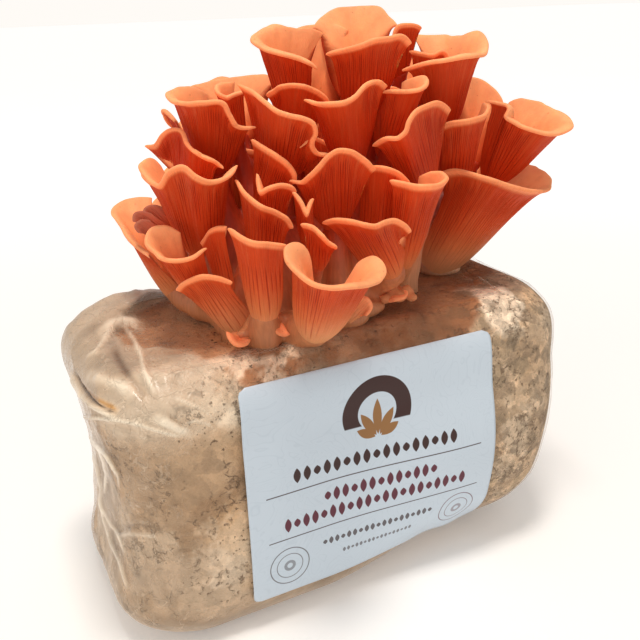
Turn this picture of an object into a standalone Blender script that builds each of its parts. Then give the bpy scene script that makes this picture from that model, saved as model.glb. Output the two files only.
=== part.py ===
"""Oyster mushroom grow kit: a bagged sawdust block with a cluster of ruffled fruit bodies on top.

Lengths are in millimetres until the mesh maker turns them into metres. The part's frame has its origin
under the middle of the block on the resting face, +X along the block, -Y to the label, +Z up.
"""

from collections import namedtuple

import bmesh
import bpy
import numpy as np

# Driving dimensions, in millimetres
MM = 0.001
FILM = 0.5
BAG_HEIGHT = 124.0
POCKET_RISE = 9.0
SLOT_START = np.array([-36.0, -26.0])
SLOT_END = np.array([86.0, 14.0])
SLOT_HALF_WIDTH = 18.0
SLOT_CUT_FLOOR, SLOT_CUT_TOP = 110.0, 150.0
LABEL_THICK = 0.4
LABEL_STAND_OFF = 0.5
BLOCK_INSET = 1.5
CAP_THICK = 2.2
FAN_WRAP = np.radians(105.0)
BULGE_REACH = 15.0
LEAVE_RISE = 0.22
ARRIVE_RISE, ARRIVE_SIDE = 0.76, 0.60
FOOT_WALL, WALL_THINNING = 1.15, 0.35
FOOT_FILL, FOOT_BLEND = 0.82, 0.45
STEM_TOP_SPREAD = 0.95
STEM_FOOT_SPREAD = 1.25
STEM_FLOOR = 123.3

# Grid sizes of the faceted solids
CAP_GRID = (7, 3)
WIDE_CAP_GRID = (10, 3)
SMALL_CAP_GRID = (4, 2)
HIDDEN_CAP_GRID = (5, 3)
SMALL_FOOT = 3.0
WIDE_RIM_POINTS = 12
STEM_SIDES, SMALL_STEM_SIDES = 5, 4
STEM_RINGS = 3
CLEARANCE = 0.35
FOOT_GAP = 0.55
SLIVER = 0.08

# The bag's outer outline at each height: left end, right end, front, back and corner radius
Level = namedtuple("Level", "z left right front back corner")
BAG_LEVELS = (
    Level(0.0, -86.0, 81.0, -38.0, 38.0, 26.0),
    Level(3.5, -96.5, 91.0, -47.5, 47.5, 28.0),
    Level(14.0, -105.5, 103.0, -53.5, 53.5, 29.0),
    Level(30.0, -103.0, 109.0, -55.0, 55.0, 31.0),
    Level(58.0, -99.5, 111.5, -55.5, 56.0, 30.0),
    Level(88.0, -102.0, 113.5, -55.0, 55.0, 28.0),
    Level(115.0, -104.0, 111.0, -53.0, 53.5, 25.0),
    Level(122.5, -97.0, 104.5, -45.0, 46.5, 22.0),
)
LABEL_LEVELS = slice(2, 7)

# Along the front and back, the outline has these points between its corners; the label spans them
STATIONS = np.array([-55.0, -25.0, 4.0, 34.0, 63.0])
BACK_STATIONS = np.array([34.0, -25.0])
TOP_RINGS = ((0.8, 123.4), (0.45, 123.9))
TOP_MIDDLE = np.array([3.0, 0.0])

# The bag leans out over the label's right half, tucks in below it, and stands up empty at the far left
BELLY = 7.0
TUCK = 14.0
POCKET_MIDDLE = np.array([-74.0, 34.0])
POCKET_REACH = np.array([22.0, 16.0])

# Sight lines of the photograph, 640 pixels square: where its eye is in the part's frame and how it looks
PICTURE_CENTRE = np.array([320.0, 320.0])
FOCAL_PX = 790.0
EYE = np.array([-144.3, -309.1, 248.0])
YAW, PITCH, ROLL = np.radians([26.2, 21.5, 2.1])

# The cluster's own axes: across the view, toward the viewer, and up from the top of the block
CLUSTER_ORIGIN = np.array([-5.0, 0.0, 120.0])
ACROSS = np.array([np.cos(YAW), -np.sin(YAW), 0.0])
NEAR = np.array([-np.sin(YAW), -np.cos(YAW), 0.0])
UP = np.array([0.0, 0.0, 1.0])
CORE = CLUSTER_ORIGIN + 12.0 * ACROSS - 10.0 * NEAR + 30.0 * UP

# Fruit bodies that the photograph shows. rim: pixels along the rim. near: how far the rim stands toward
# the viewer, evenly spread along it. foot: the pixel where the fan ends in its stem, and how near it is.
Cap = namedtuple("Cap", "name rim near foot foot_near foot_radius faces_away waist", defaults=(False, 1.0))
SEEN_CAPS = (
    Cap("cap_front_1", ((177, 291), (190, 282), (204, 278), (218, 280), (232, 284)),
        (44, 52, 50), (238, 325), 36, 6.0),
    Cap("cap_front_2", ((227, 229), (238, 238), (255, 245), (270, 246), (288, 248)),
        (58, 68, 66), (264, 315), 49, 5.0),
    Cap("cap_front_3", ((304, 262), (303, 252), (296, 246), (286, 250), (285, 260), (296, 275), (312, 287),
                        (330, 291), (350, 289), (367, 287), (380, 281), (384, 270), (376, 260), (360, 263)),
        (58, 70, 82, 84, 76, 60, 50), (315, 336), 48, 6.0),
    Cap("cap_front_4", ((200, 243), (207, 234), (216, 229), (225, 229)),
        (30, 38, 46), (228, 300), 31, 3.0),
    Cap("cap_front_5", ((300, 225), (310, 229), (320, 237), (328, 245), (337, 249)),
        (54, 58, 54), (318, 266), 38, 2.5),
    Cap("cap_left_1", ((150, 258), (133, 246), (121, 230), (115, 210), (125, 203), (138, 200), (152, 199)),
        (22, 12, -4, -16, -18), (175, 289), 8, 5.5),
    Cap("cap_left_2", ((207, 249), (195, 259), (175, 263), (156, 257), (146, 243), (150, 232), (165, 226),
                       (180, 232)),
        (50, 52, 44, 36, 34), (200, 293), 25, 4.0),
    Cap("cap_left_3", ((238, 166), (234, 174), (223, 182), (208, 184), (194, 178), (182, 169), (171, 173),
                       (158, 188), (146, 180), (140, 167), (147, 160), (160, 167)),
        (40, 48, 52, 50, 42, 30, 20), (200, 249), 12, 5.0),
    Cap("cap_left_4", ((145, 147), (154, 146), (161, 137), (170, 130), (179, 131), (185, 144), (193, 153),
                       (204, 160), (215, 164), (223, 169)),
        (12, 20, 28, 34, 34), (190, 192), 8, 4.0),
    Cap("cap_left_5", ((256, 128), (246, 130), (236, 128), (229, 117), (223, 106), (205, 105), (185, 106),
                       (172, 103), (167, 97), (176, 90), (192, 89), (206, 94)),
        (26, 30, 32, 34, 30, 22, 12, 6), (213, 165), 6, 4.5),
    Cap("cap_left_6", ((246, 93), (236, 96), (226, 100), (219, 97), (214, 88), (222, 84), (234, 83)),
        (10, 14, 14, 6, 2), (236, 140), 0, 3.5),
    Cap("cap_left_7", ((190, 88), (208, 85), (224, 81), (240, 79), (256, 77), (268, 78), (277, 85)),
        (-14, -24, -26, -20), (240, 140), -12, 4.5, True),
    Cap("cap_middle_1", ((235, 181), (240, 191), (250, 201), (262, 209), (275, 214), (285, 220), (292, 229)),
        (40, 52, 46), (262, 262), 24, 4.5),
    Cap("cap_middle_2", ((256, 174), (256, 186), (260, 195), (270, 190), (282, 187), (291, 189), (296, 193)),
        (40, 44, 38), (270, 228), 20, 3.0),
    Cap("cap_middle_3", ((292, 193), (299, 205), (307, 217), (311, 208), (315, 199)),
        (46, 50, 44), (306, 238), 28, 2.5),
    Cap("cap_middle_4", ((251, 141), (262, 149), (275, 157), (286, 165), (293, 175), (294, 184)),
        (30, 38, 32), (264, 209), 9, 4.0),
    Cap("cap_middle_5", ((290, 182), (300, 184), (310, 179), (320, 168), (330, 157), (339, 152), (350, 153),
                         (362, 160), (375, 171)),
        (35, 43, 45, 33), (335, 222), 17, 5.0),
    Cap("cap_middle_6", ((322, 224), (335, 222), (350, 223), (365, 227), (376, 228), (386, 224), (396, 222),
                         (404, 226), (411, 232)),
        (40, 50, 50, 42), (390, 272), 16, 5.0),
    Cap("cap_middle_7", ((390, 182), (402, 185), (415, 188), (430, 188), (442, 186), (448, 180), (444, 174),
                         (432, 173), (420, 176)),
        (36, 42, 40, 28, 20), (403, 262), 2, 4.5),
    Cap("cap_middle_8", ((356, 179), (363, 173), (373, 169), (385, 170), (398, 175), (409, 184)),
        (22, 30, 26), (374, 240), 8, 4.0),
    Cap("cap_middle_9", ((237, 85), (250, 93), (262, 103), (275, 113), (290, 118), (303, 121), (314, 127),
                         (316, 134), (312, 142), (315, 153), (322, 157), (328, 155)),
        (22, 32, 40, 40, 36, 30), (280, 172), 10, 5.0),
    Cap("cap_middle_10", ((267, 97), (275, 91), (288, 87), (303, 88), (318, 94), (329, 103)),
        (10, 20, 14), (296, 140), 0, 4.0),
    Cap("cap_middle_11", ((304, 101), (316, 106), (330, 106), (346, 104), (357, 98), (366, 88), (376, 83),
                          (387, 87)),
        (26, 34, 34, 28, 18), (352, 160), 8, 5.0),
    Cap("cap_middle_12", ((383, 93), (396, 94), (410, 94), (420, 92), (428, 86), (426, 79), (414, 80),
                          (403, 84)),
        (10, 18, 18, 8, 0), (392, 142), 0, 4.0),
    Cap("cap_middle_13", ((374, 147), (386, 141), (399, 140), (407, 133), (411, 122), (418, 112), (428, 107),
                          (438, 104), (446, 106), (451, 110)),
        (18, 28, 28, 22, 12), (425, 185), 0, 4.5),
    Cap("cap_right_1", ((441, 173), (456, 172), (475, 177), (495, 183), (515, 189), (535, 193), (549, 190),
                        (550, 181), (540, 172), (525, 166), (507, 164), (493, 170)),
        (-8, 6, 6, -4, -24, -44, -50), (441, 261), -42, 8.0, False, 0.76),
    Cap("cap_right_2", ((438, 129), (450, 125), (465, 123), (478, 120), (488, 115), (490, 108), (484, 103)),
        (2, 10, 6, -6), (455, 195), -26, 4.5),
    Cap("cap_right_3", ((486, 103), (497, 105), (507, 109), (504, 117), (514, 125), (530, 132), (546, 136),
                        (561, 135), (572, 128), (566, 119), (553, 111), (538, 104), (522, 101), (509, 104)),
        (-14, -10, -8, -6, -10, -24, -40, -52), (492, 178), -36, 4.5),
    Cap("cap_right_4", ((452, 80), (466, 79), (481, 82), (493, 90), (503, 104)),
        (-44, -50, -44), (468, 165), -40, 5.0, True),
    Cap("cap_top_1", ((317, 69), (300, 62), (280, 56), (262, 50), (252, 42), (262, 34), (275, 28), (292, 30),
                      (310, 30), (322, 35)),
        (8, 12, 2, -16, -30), (295, 108), -14, 5.0),
    Cap("cap_top_2", ((327, 56), (345, 52), (362, 47), (375, 42), (390, 40), (404, 38), (411, 44)),
        (8, 20, 10), (364, 112), -6, 5.5),
    Cap("cap_top_3", ((394, 38), (399, 28), (410, 26), (422, 28)),
        (-10, -10, -16), (400, 75), -22, 3.0),
    Cap("cap_top_4", ((409, 52), (420, 55), (433, 57), (445, 53), (449, 60)),
        (-14, -10, -14), (425, 100), -22, 3.0),
    Cap("cap_top_5", ((403, 72), (416, 68), (430, 65), (445, 63), (460, 60), (475, 58), (486, 55), (487, 45),
                      (480, 35), (462, 38), (445, 38), (428, 37), (413, 38)),
        (2, 10, 4, -12, -30, -34), (442, 125), -20, 5.0, False, 0.85),
    Cap("cap_top_6", ((313, 29), (323, 19), (335, 12), (350, 10), (366, 9), (380, 10), (388, 19), (398, 26)),
        (-36, -44, -34), (352, 95), -22, 5.0, True),
)

# Fruit bodies on the hidden side. Across, near and up place the middle of the rim in the cluster's axes.
# Facing is the way it opens, in degrees from straight away toward +across. Bend is half the rim's arc.
# Waves and phase ruffle it. The foot lies inward and down from the middle of the rim.
HiddenCap = namedtuple("HiddenCap", "name across near up facing width bend ruffle waves phase inward down "
                       "foot_radius")
HIDDEN_CAPS = (
    HiddenCap("cap_back_1", -64, -36, 42, -52, 32, 80, 5.0, 1.5, 0.3, 18, 20, 4.5),
    HiddenCap("cap_back_2", -36, -62, 40, -28, 38, 95, 6.0, 1.5, 2.0, 24, 22, 5.0),
    HiddenCap("cap_back_3", 12, -76, 42, 0, 42, 85, 6.0, 1.5, 4.0, 28, 23, 5.0),
    HiddenCap("cap_back_4", 52, -78, 38, 8, 34, 95, 4.0, 1.5, 1.0, 26, 19, 4.5),
    HiddenCap("cap_back_5", -62, -8, 62, -82, 30, 80, 5.0, 1.5, 3.0, 18, 28, 4.5),
    HiddenCap("cap_back_6", -52, -41, 82, -50, 30, 95, 5.0, 1.5, 5.0, 18, 28, 4.0),
    HiddenCap("cap_back_7", -8, -64, 78, -6, 42, 85, 6.0, 1.5, 0.8, 22, 32, 5.0),
    HiddenCap("cap_back_8", 40, -68, 74, 6, 36, 95, 5.0, 1.5, 2.6, 22, 30, 4.5),
    HiddenCap("cap_back_9", -30, -46, 95, -25, 36, 95, 4.0, 1.5, 1.6, 12, 24, 4.0),
    HiddenCap("cap_back_10", 64, -62, 106, 12, 32, 95, 4.0, 1.5, 3.8, 12, 26, 4.0),
    HiddenCap("cap_back_11", 119, -62, 46, 68, 28, 80, 4.0, 1.5, 0.0, 26, 32, 4.5),
    HiddenCap("cap_back_12", 86, -98, 52, 5, 42, 95, 5.0, 1.5, 2.2, 26, 38, 5.5),
    HiddenCap("cap_back_13", 18, -62, 109, 0, 42, 80, 4.0, 1.5, 4.6, 16, 28, 4.5),
)

# A cluster's stems leave the block along a line, within a spread of it, and fuse in lumps at its foot.
# Rise and pull say how far they run straight up from the root and straight into the foot.
Cluster = namedtuple("Cluster", "name start end spread rise pull lumps")
Lump = namedtuple("Lump", "middle radii")
MAIN_CLUSTER = Cluster(
    "stem_cluster_main", np.array([-38.0, -24.0]), np.array([44.0, -1.0]), 11.0, 0.4, 0.35,
    (Lump((8.0, -6.0, 124.0), (54.0, 15.0, 44.0)), Lump((-2.0, -19.0, 122.0), (42.0, 13.0, 9.0))),
)
RIGHT_CLUSTER = Cluster(
    "stem_cluster_right", np.array([83.0, 21.0]), np.array([97.0, 23.5]), 4.5, 0.8, 0.25,
    (Lump((87.0, 17.0, 124.0), (12.0, 9.0, 14.0)),),
)
RIGHT_CAPS = {"cap_right_1", "cap_right_2", "cap_right_3", "cap_right_4", "cap_back_11", "cap_back_12"}

# Young mushrooms and curled bits at the cluster's foot, given as small fans in the same way
PINS = (
    Cap("pin_front_1", ((227, 333), (230, 341), (237, 346), (246, 345), (250, 340)),
        (52, 58, 54), (242, 336), 47, 2.5),
    Cap("pin_front_2", ((275, 312), (272, 322), (275, 331), (282, 335), (289, 333)),
        (45, 49, 46), (281, 318), 40, 2.2),
    Cap("pin_front_3", ((351, 304), (358, 299), (366, 300), (370, 307), (365, 316)),
        (36, 39, 38), (346, 319), 31, 2.5),
    Cap("pin_right_1", ((380, 296), (387, 301), (397, 302), (406, 297), (407, 289)),
        (12, 20, 12), (389, 286), 4, 2.3),
)

# Colours, linear, with roughness
Finish = namedtuple("Finish", "name colour roughness")
FRUIT = Finish("oyster_flesh", (0.80, 0.22, 0.09), 0.55)
YOUNG_FRUIT = Finish("young_flesh", (0.85, 0.30, 0.14), 0.50)
STEM = Finish("pale_stem", (0.86, 0.48, 0.30), 0.60)
SAWDUST = Finish("sawdust_block", (0.62, 0.45, 0.28), 0.90)
CLEAR_FILM = Finish("clear_film", (0.80, 0.68, 0.52), 0.25)
PAPER = Finish("label_paper", (0.62, 0.70, 0.80), 0.45)


def clear_scene():
    for obj in list(bpy.data.objects):
        bpy.data.objects.remove(obj)


def unit(vectors):
    return vectors / np.linalg.norm(vectors, axis=-1, keepdims=True)


def smooth_step(values):
    clipped = np.clip(values, 0.0, 1.0)
    return clipped * clipped * (3.0 - 2.0 * clipped)


def view_axes():
    """Right, down and forward of the photograph's view, from its yaw, pitch and roll."""
    forward = np.array([np.sin(YAW) * np.cos(PITCH), np.cos(YAW) * np.cos(PITCH), -np.sin(PITCH)])
    right = np.array([np.cos(YAW), -np.sin(YAW), 0.0])
    down = np.cross(forward, right)
    turned_right = np.cos(ROLL) * right + np.sin(ROLL) * down
    turned_down = np.cos(ROLL) * down - np.sin(ROLL) * right
    return np.array([turned_right, turned_down, forward])


def sight_point(pixel, near):
    """The point on a pixel's sight line that stands `near` millimetres toward the viewer from the
    cluster's middle plane."""
    across_picture = (np.asarray(pixel, float) - PICTURE_CENTRE) / FOCAL_PX
    sight = view_axes().T @ np.append(across_picture, 1.0)
    reach = (near - (EYE - CLUSTER_ORIGIN) @ NEAR) / (sight @ NEAR)
    return EYE + reach * sight


def smooth_curve(points, count):
    """`count` points along a smooth curve through the given points: cubic Hermite spans whose slopes are
    the central differences over the chord length."""
    points = np.asarray(points, float)
    chord = np.append(0.0, np.cumsum(np.linalg.norm(np.diff(points, axis=0), axis=1)))
    chord /= chord[-1]
    slopes = np.gradient(points, chord, axis=0)
    at = np.linspace(0.0, 1.0, count)
    span = np.clip(np.searchsorted(chord, at, side="right") - 1, 0, len(points) - 2)
    length = (chord[span + 1] - chord[span])[:, None]
    part = (at - chord[span])[:, None] / length
    return (
        (2 * part**3 - 3 * part**2 + 1) * points[span]
        + (part**3 - 2 * part**2 + part) * length * slopes[span]
        + (3 * part**2 - 2 * part**3) * points[span + 1]
        + (part**3 - part**2) * length * slopes[span + 1]
    )


def seen_rim(cap, count):
    """The rim of a fruit body in the photograph, as `count` points in the part's frame."""
    pixels = np.asarray(cap.rim, float)
    run = np.append(0.0, np.cumsum(np.linalg.norm(np.diff(pixels, axis=0), axis=1)))
    near = np.interp(run / run[-1], np.linspace(0.0, 1.0, len(cap.near)), cap.near)
    return smooth_curve([sight_point(pixel, depth) for pixel, depth in zip(pixels, near)], count)


def hidden_frame(cap):
    """Outward and sideways directions of a fruit body on the hidden side."""
    turn = np.radians(cap.facing)
    outward = np.sin(turn) * ACROSS - np.cos(turn) * NEAR
    sideways = np.cos(turn) * ACROSS + np.sin(turn) * NEAR
    return outward, sideways


def hidden_rim(cap, count):
    """An arc bent round the foot, ruffled up and down by one sine and in and out by another."""
    outward, sideways = hidden_frame(cap)
    bend = np.radians(cap.bend)
    radius = cap.width / 2.0 / (np.sin(bend) if cap.bend < 90 else 1.0)
    middle = CLUSTER_ORIGIN + cap.across * ACROSS + cap.near * NEAR + cap.up * UP
    run = np.linspace(-1.0, 1.0, 9)[:, None]
    lift = cap.ruffle * np.sin(run * np.pi * cap.waves + cap.phase)
    swing = 0.5 * cap.ruffle * np.cos(1.3 * run * np.pi * cap.waves + cap.phase)
    arc = radius * np.sin(run * bend) * sideways - radius * (1.0 - np.cos(run * bend)) * outward
    return smooth_curve(middle + arc + lift * UP + swing * outward, count)


def hidden_foot(cap):
    outward, _ = hidden_frame(cap)
    middle = CLUSTER_ORIGIN + cap.across * ACROSS + cap.near * NEAR + cap.up * UP
    return middle - cap.inward * outward - cap.down * UP


def seen_facing(cap, rim):
    """The way a fruit body in the photograph opens: away from the cluster's core, toward the viewer, and
    the more so the way its rim bulges from the line between its ends."""
    if cap.faces_away:
        return -NEAR
    away = rim.mean(axis=0) - CORE
    bulge = rim[len(rim) // 2] - (rim[0] + rim[-1]) / 2.0
    return unit(away) * 0.6 + NEAR * 0.6 + bulge / BULGE_REACH


def fan_surfaces(rim, foot, foot_radius, facing, rows, spread, waist):
    """Outer gilled side and inner upper side of a fan, as grids of points from foot to rim.

    The foot is part of a ring round the fan's axis. Each column is a cubic Bezier curve from that ring to
    the rim, leaving along the axis and flaring outward at the top. The inner side lies inward along the
    normal, and blends toward the axis at the foot, so that the stem end is nearly solid. A waist under 1
    draws the columns in below the rim.
    """
    columns = len(rim)
    axis = unit(rim.mean(axis=0) - foot)
    front = unit(facing - (facing @ axis) * axis)
    side = np.cross(axis, front)
    third = max(1, columns // 3)
    if (rim[-third:].mean(axis=0) - rim[:third].mean(axis=0)) @ side < 0.0:
        side = -side
    run = np.linspace(-1.0, 1.0, columns)[:, None]
    ring = front * np.cos(run * FAN_WRAP) + side * np.sin(run * FAN_WRAP)
    start = foot + foot_radius * ring
    rise = ((rim - foot) @ axis)[:, None] * axis
    lateral = (rim - foot) - rise
    leave = start + LEAVE_RISE * rise + waist * spread * lateral
    arrive = foot + ARRIVE_RISE * rise + waist * ARRIVE_SIDE * lateral
    up = np.linspace(0.0, 1.0, rows + 1)
    t = up[:, None, None]
    outer = (1 - t)**3 * start + 3 * (1 - t)**2 * t * leave + 3 * (1 - t) * t**2 * arrive + t**3 * rim
    normal = unit(np.cross(np.gradient(outer, axis=1), np.gradient(outer, axis=0)))
    normal *= np.sign((normal[rows // 2] * ring).sum())
    thinning = 0.35 + 0.65 * np.sqrt(1.0 - np.abs(run[:, 0])**6)
    depth = (CAP_THICK * (FOOT_WALL - WALL_THINNING * up)[:, None] * thinning)[..., None]
    to_axis = FOOT_FILL * (foot + ((outer - foot) @ axis)[..., None] * axis - outer)
    blend = smooth_step(up / FOOT_BLEND)[:, None, None]
    inner = outer + (1.0 - blend) * to_axis - blend * depth * normal
    return outer, inner


def two_sided_faces(rows, columns):
    """Triangles of the closed solid between two grids, the second grid's points following the first's."""
    first = np.arange((rows + 1) * (columns + 1)).reshape(rows + 1, columns + 1)
    second = first + first.size
    quads = [
        (first[:-1, :-1], first[:-1, 1:], first[1:, 1:], first[1:, :-1]),
        (second[:-1, :-1], second[1:, :-1], second[1:, 1:], second[:-1, 1:]),
        (first[-1, :-1], first[-1, 1:], second[-1, 1:], second[-1, :-1]),
        (first[0, :-1], second[0, :-1], second[0, 1:], first[0, 1:]),
        (first[:-1, 0], first[1:, 0], second[1:, 0], second[:-1, 0]),
        (first[:-1, -1], second[:-1, -1], second[1:, -1], first[1:, -1]),
    ]
    quads = np.concatenate([np.stack([corner.ravel() for corner in quad], axis=1) for quad in quads])
    return np.concatenate([quads[:, [0, 1, 2]], quads[:, [0, 2, 3]]])


def finish_material(finish):
    material = bpy.data.materials.get(finish.name) or bpy.data.materials.new(finish.name)
    material.use_nodes = True
    shader = material.node_tree.nodes["Principled BSDF"]
    shader.inputs["Base Color"].default_value = (*finish.colour, 1.0)
    shader.inputs["Roughness"].default_value = finish.roughness
    shader.inputs["Metallic"].default_value = 0.0
    return material


def add_object(name, mesh, finish=None):
    obj = bpy.data.objects.new(name, mesh)
    bpy.context.scene.collection.objects.link(obj)
    if finish:
        mesh.materials.append(finish_material(finish))
        mesh.shade_smooth()
    return obj


def add_helper(name, mesh):
    """A cutter or other shape that only works on its neighbours."""
    helper = add_object(name, mesh)
    helper.hide_render = True
    helper.display_type = "WIRE"
    return helper


def solid_mesh(name, points, faces):
    """A mesh in metres from points in millimetres, with every face pointing out."""
    mesh = bpy.data.meshes.new(name)
    mesh.from_pydata((np.asarray(points) * MM).tolist(), [], [list(map(int, face)) for face in faces])
    shape = bmesh.new()
    shape.from_mesh(mesh)
    bmesh.ops.recalc_face_normals(shape, faces=shape.faces)
    shape.to_mesh(mesh)
    shape.free()
    return mesh


def fattened(mesh, distance):
    """A copy of a mesh whose faces stand `distance` millimetres further out, with no spike at a sharp
    point."""
    shape = bmesh.new()
    shape.from_mesh(mesh)
    shape.normal_update()
    moves = [vert.normal * min(vert.calc_shell_factor(), 2.0) * distance * MM for vert in shape.verts]
    for vert, move in zip(shape.verts, moves):
        vert.co += move
    fat = bpy.data.meshes.new(mesh.name + "_room")
    shape.to_mesh(fat)
    shape.free()
    return fat


# A fruit body's own solid, with what its stem needs to know
Fruit = namedtuple("Fruit", "name foot axis foot_radius mesh")


def make_fruit(name, rim, foot, foot_radius, facing, grid, finish, spread=0.5, waist=1.0):
    outer, inner = fan_surfaces(rim, foot, foot_radius, facing, grid[1], spread, waist)
    points = np.concatenate([outer.reshape(-1, 3), inner.reshape(-1, 3)])
    mesh = solid_mesh(name, points, two_sided_faces(grid[1], grid[0]))
    add_object(name, mesh, finish)
    return Fruit(name, foot, unit(rim.mean(axis=0) - foot), foot_radius, mesh)


def make_seen(cap, finish):
    grid = WIDE_CAP_GRID if len(cap.rim) >= WIDE_RIM_POINTS else CAP_GRID
    if cap.foot_radius <= SMALL_FOOT:
        grid = SMALL_CAP_GRID
    rim = seen_rim(cap, grid[0] + 1)
    foot = sight_point(cap.foot, cap.foot_near)
    facing = seen_facing(cap, rim)
    return make_fruit(cap.name, rim, foot, cap.foot_radius, facing, grid, finish, waist=cap.waist)


def make_hidden(cap):
    rim = hidden_rim(cap, HIDDEN_CAP_GRID[0] + 1)
    outward, _ = hidden_frame(cap)
    return make_fruit(cap.name, rim, hidden_foot(cap), cap.foot_radius, outward, HIDDEN_CAP_GRID, FRUIT, 0.42)


def outline(level):
    """Points round a level, counterclockwise from the front left: straight sides with points at the
    stations, and quarter-circle corners."""
    corner = level.corner
    steps = np.radians([0.0, 45.0, 90.0])
    near_x, far_x = level.left + corner, level.right - corner
    near_y, far_y = level.front + corner, level.back - corner
    centres = ((far_x, near_y, -90.0), (far_x, far_y, 0.0), (near_x, far_y, 90.0), (near_x, near_y, 180.0))
    arcs = []
    for middle_x, middle_y, start in centres:
        turn = steps + np.radians(start)
        arcs.append(np.stack([middle_x + corner * np.cos(turn), middle_y + corner * np.sin(turn)], axis=1))
    front = np.stack([STATIONS, np.full(len(STATIONS), level.front)], axis=1)
    back = np.stack([BACK_STATIONS, np.full(len(BACK_STATIONS), level.back)], axis=1)
    return np.concatenate([front, arcs[0], arcs[1], back, arcs[2], arcs[3]])


def press(points):
    """Leans the front out over the label's right half, and tucks it in along the lower right edge."""
    x, y, z = points[:, 0], points[:, 1], points[:, 2]
    share = smooth_step((-y - 10.0) / 40.0) * smooth_step((x + 20.0) / 80.0)
    lean = BELLY * np.exp(-((z - 62.0) / 34.0)**2) - TUCK * smooth_step((34.0 - z) / 34.0)
    return np.stack([x, y - share * lean, z], axis=1)


def pocket_lift(points):
    """The height that the empty corner of film adds: a smooth mound that counts near the top alone."""
    away = (points[:, :2] - POCKET_MIDDLE) / POCKET_REACH
    share = smooth_step((points[:, 2] - 100.0) / 22.0)
    return points + np.outer(POCKET_RISE * np.exp(-(away**2).sum(axis=1)) * share, UP)


def pillow(inset, pocket):
    """Points and faces of the closed bag shape, `inset` millimetres inside its outer surface."""
    rings = []
    for level in BAG_LEVELS:
        shrunk = Level(level.z, level.left + inset, level.right - inset, level.front + inset,
                       level.back - inset, level.corner)
        loop = outline(shrunk)
        rings.append(np.column_stack([loop, np.full(len(loop), level.z)]))
    rim = rings[-1][:, :2]
    for share, height in TOP_RINGS:
        ring = TOP_MIDDLE + share * (rim - TOP_MIDDLE)
        rings.append(np.column_stack([ring, np.full(len(ring), height)]))
    sides = len(rim)
    points = np.concatenate(rings + [[[*TOP_MIDDLE, BAG_HEIGHT]]])
    points[:, 2] = inset + points[:, 2] * (BAG_HEIGHT - 2.0 * inset) / BAG_HEIGHT
    points = press(points)
    if pocket:
        points = pocket_lift(points)
    faces = [list(range(sides))[::-1]]
    for low in range(0, (len(rings) - 1) * sides, sides):
        for step in range(sides):
            here, along = low + step, low + (step + 1) % sides
            faces.append([here, along, along + sides])
            faces.append([here, along + sides, here + sides])
    last = (len(rings) - 1) * sides
    faces += [[last + step, last + (step + 1) % sides, len(points) - 1] for step in range(sides)]
    return points, faces


def slot_mesh(name, half_width, low, high):
    """A long hole's prism: straight sides along the slot with a half circle at each end."""
    along = unit(SLOT_END - SLOT_START)
    start = np.arctan2(along[1], along[0]) - np.pi / 2.0
    turns = start + np.linspace(0.0, np.pi, 7)
    far = SLOT_END + half_width * np.stack([np.cos(turns), np.sin(turns)], axis=1)
    turns = turns + np.pi
    near = SLOT_START + half_width * np.stack([np.cos(turns), np.sin(turns)], axis=1)
    loop = np.concatenate([far, near])
    count = len(loop)
    points = np.concatenate([np.column_stack([loop, np.full(count, height)]) for height in (low, high)])
    faces = [list(range(count))[::-1], list(range(count, 2 * count))]
    faces += [[i, (i + 1) % count, (i + 1) % count + count, i + count] for i in range(count)]
    mesh = bpy.data.meshes.new(name)
    mesh.from_pydata((points * MM).tolist(), [], faces)
    return mesh


def cut(obj, cutter):
    boolean = obj.modifiers.new(cutter.name, "BOOLEAN")
    boolean.operation = "DIFFERENCE"
    boolean.solver = "EXACT"
    boolean.object = cutter


def make_block():
    add_object("substrate_block", solid_mesh("substrate_block", *pillow(BLOCK_INSET, False)), SAWDUST)


def make_bag():
    """The film: the bag's shape less the shape inside it, with the slot cut through its top."""
    bag = add_object("bag", solid_mesh("bag", *pillow(0.0, True)), CLEAR_FILM)
    cut(bag, add_helper("bag_inside", solid_mesh("bag_inside", *pillow(FILM, True))))
    cut(bag, add_helper("bag_slot", slot_mesh("bag_slot", SLOT_HALF_WIDTH, SLOT_CUT_FLOOR, SLOT_CUT_TOP)))


def make_label():
    """The label's two faces are the bag's own front points between the first and last station, moved out."""
    points, _ = pillow(0.0, True)
    sides = len(outline(BAG_LEVELS[0]))
    front = points[:len(BAG_LEVELS) * sides].reshape(len(BAG_LEVELS), sides, 3)[LABEL_LEVELS, :len(STATIONS)]
    outward = np.array([0.0, -1.0, 0.0])
    back_face = front + LABEL_STAND_OFF * outward
    front_face = back_face + LABEL_THICK * outward
    both = np.concatenate([front_face.reshape(-1, 3), back_face.reshape(-1, 3)])
    faces = two_sided_faces(front.shape[0] - 1, front.shape[1] - 1)
    add_object("label", solid_mesh("label", both, faces), PAPER)


def stem_root(fruit, cluster):
    """Where a stem leaves the block: beside the nearest point of the cluster's line, within its spread."""
    run = cluster.end - cluster.start
    along = unit(run)
    across = np.array([-along[1], along[0]])
    share = np.clip((fruit.foot[:2] - cluster.start) @ run / (run @ run), 0.0, 1.0)
    offset = np.clip((fruit.foot[:2] - cluster.start) @ across, -cluster.spread, cluster.spread)
    return np.append(cluster.start + share * run + offset * across, STEM_FLOOR - 2.0)


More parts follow.
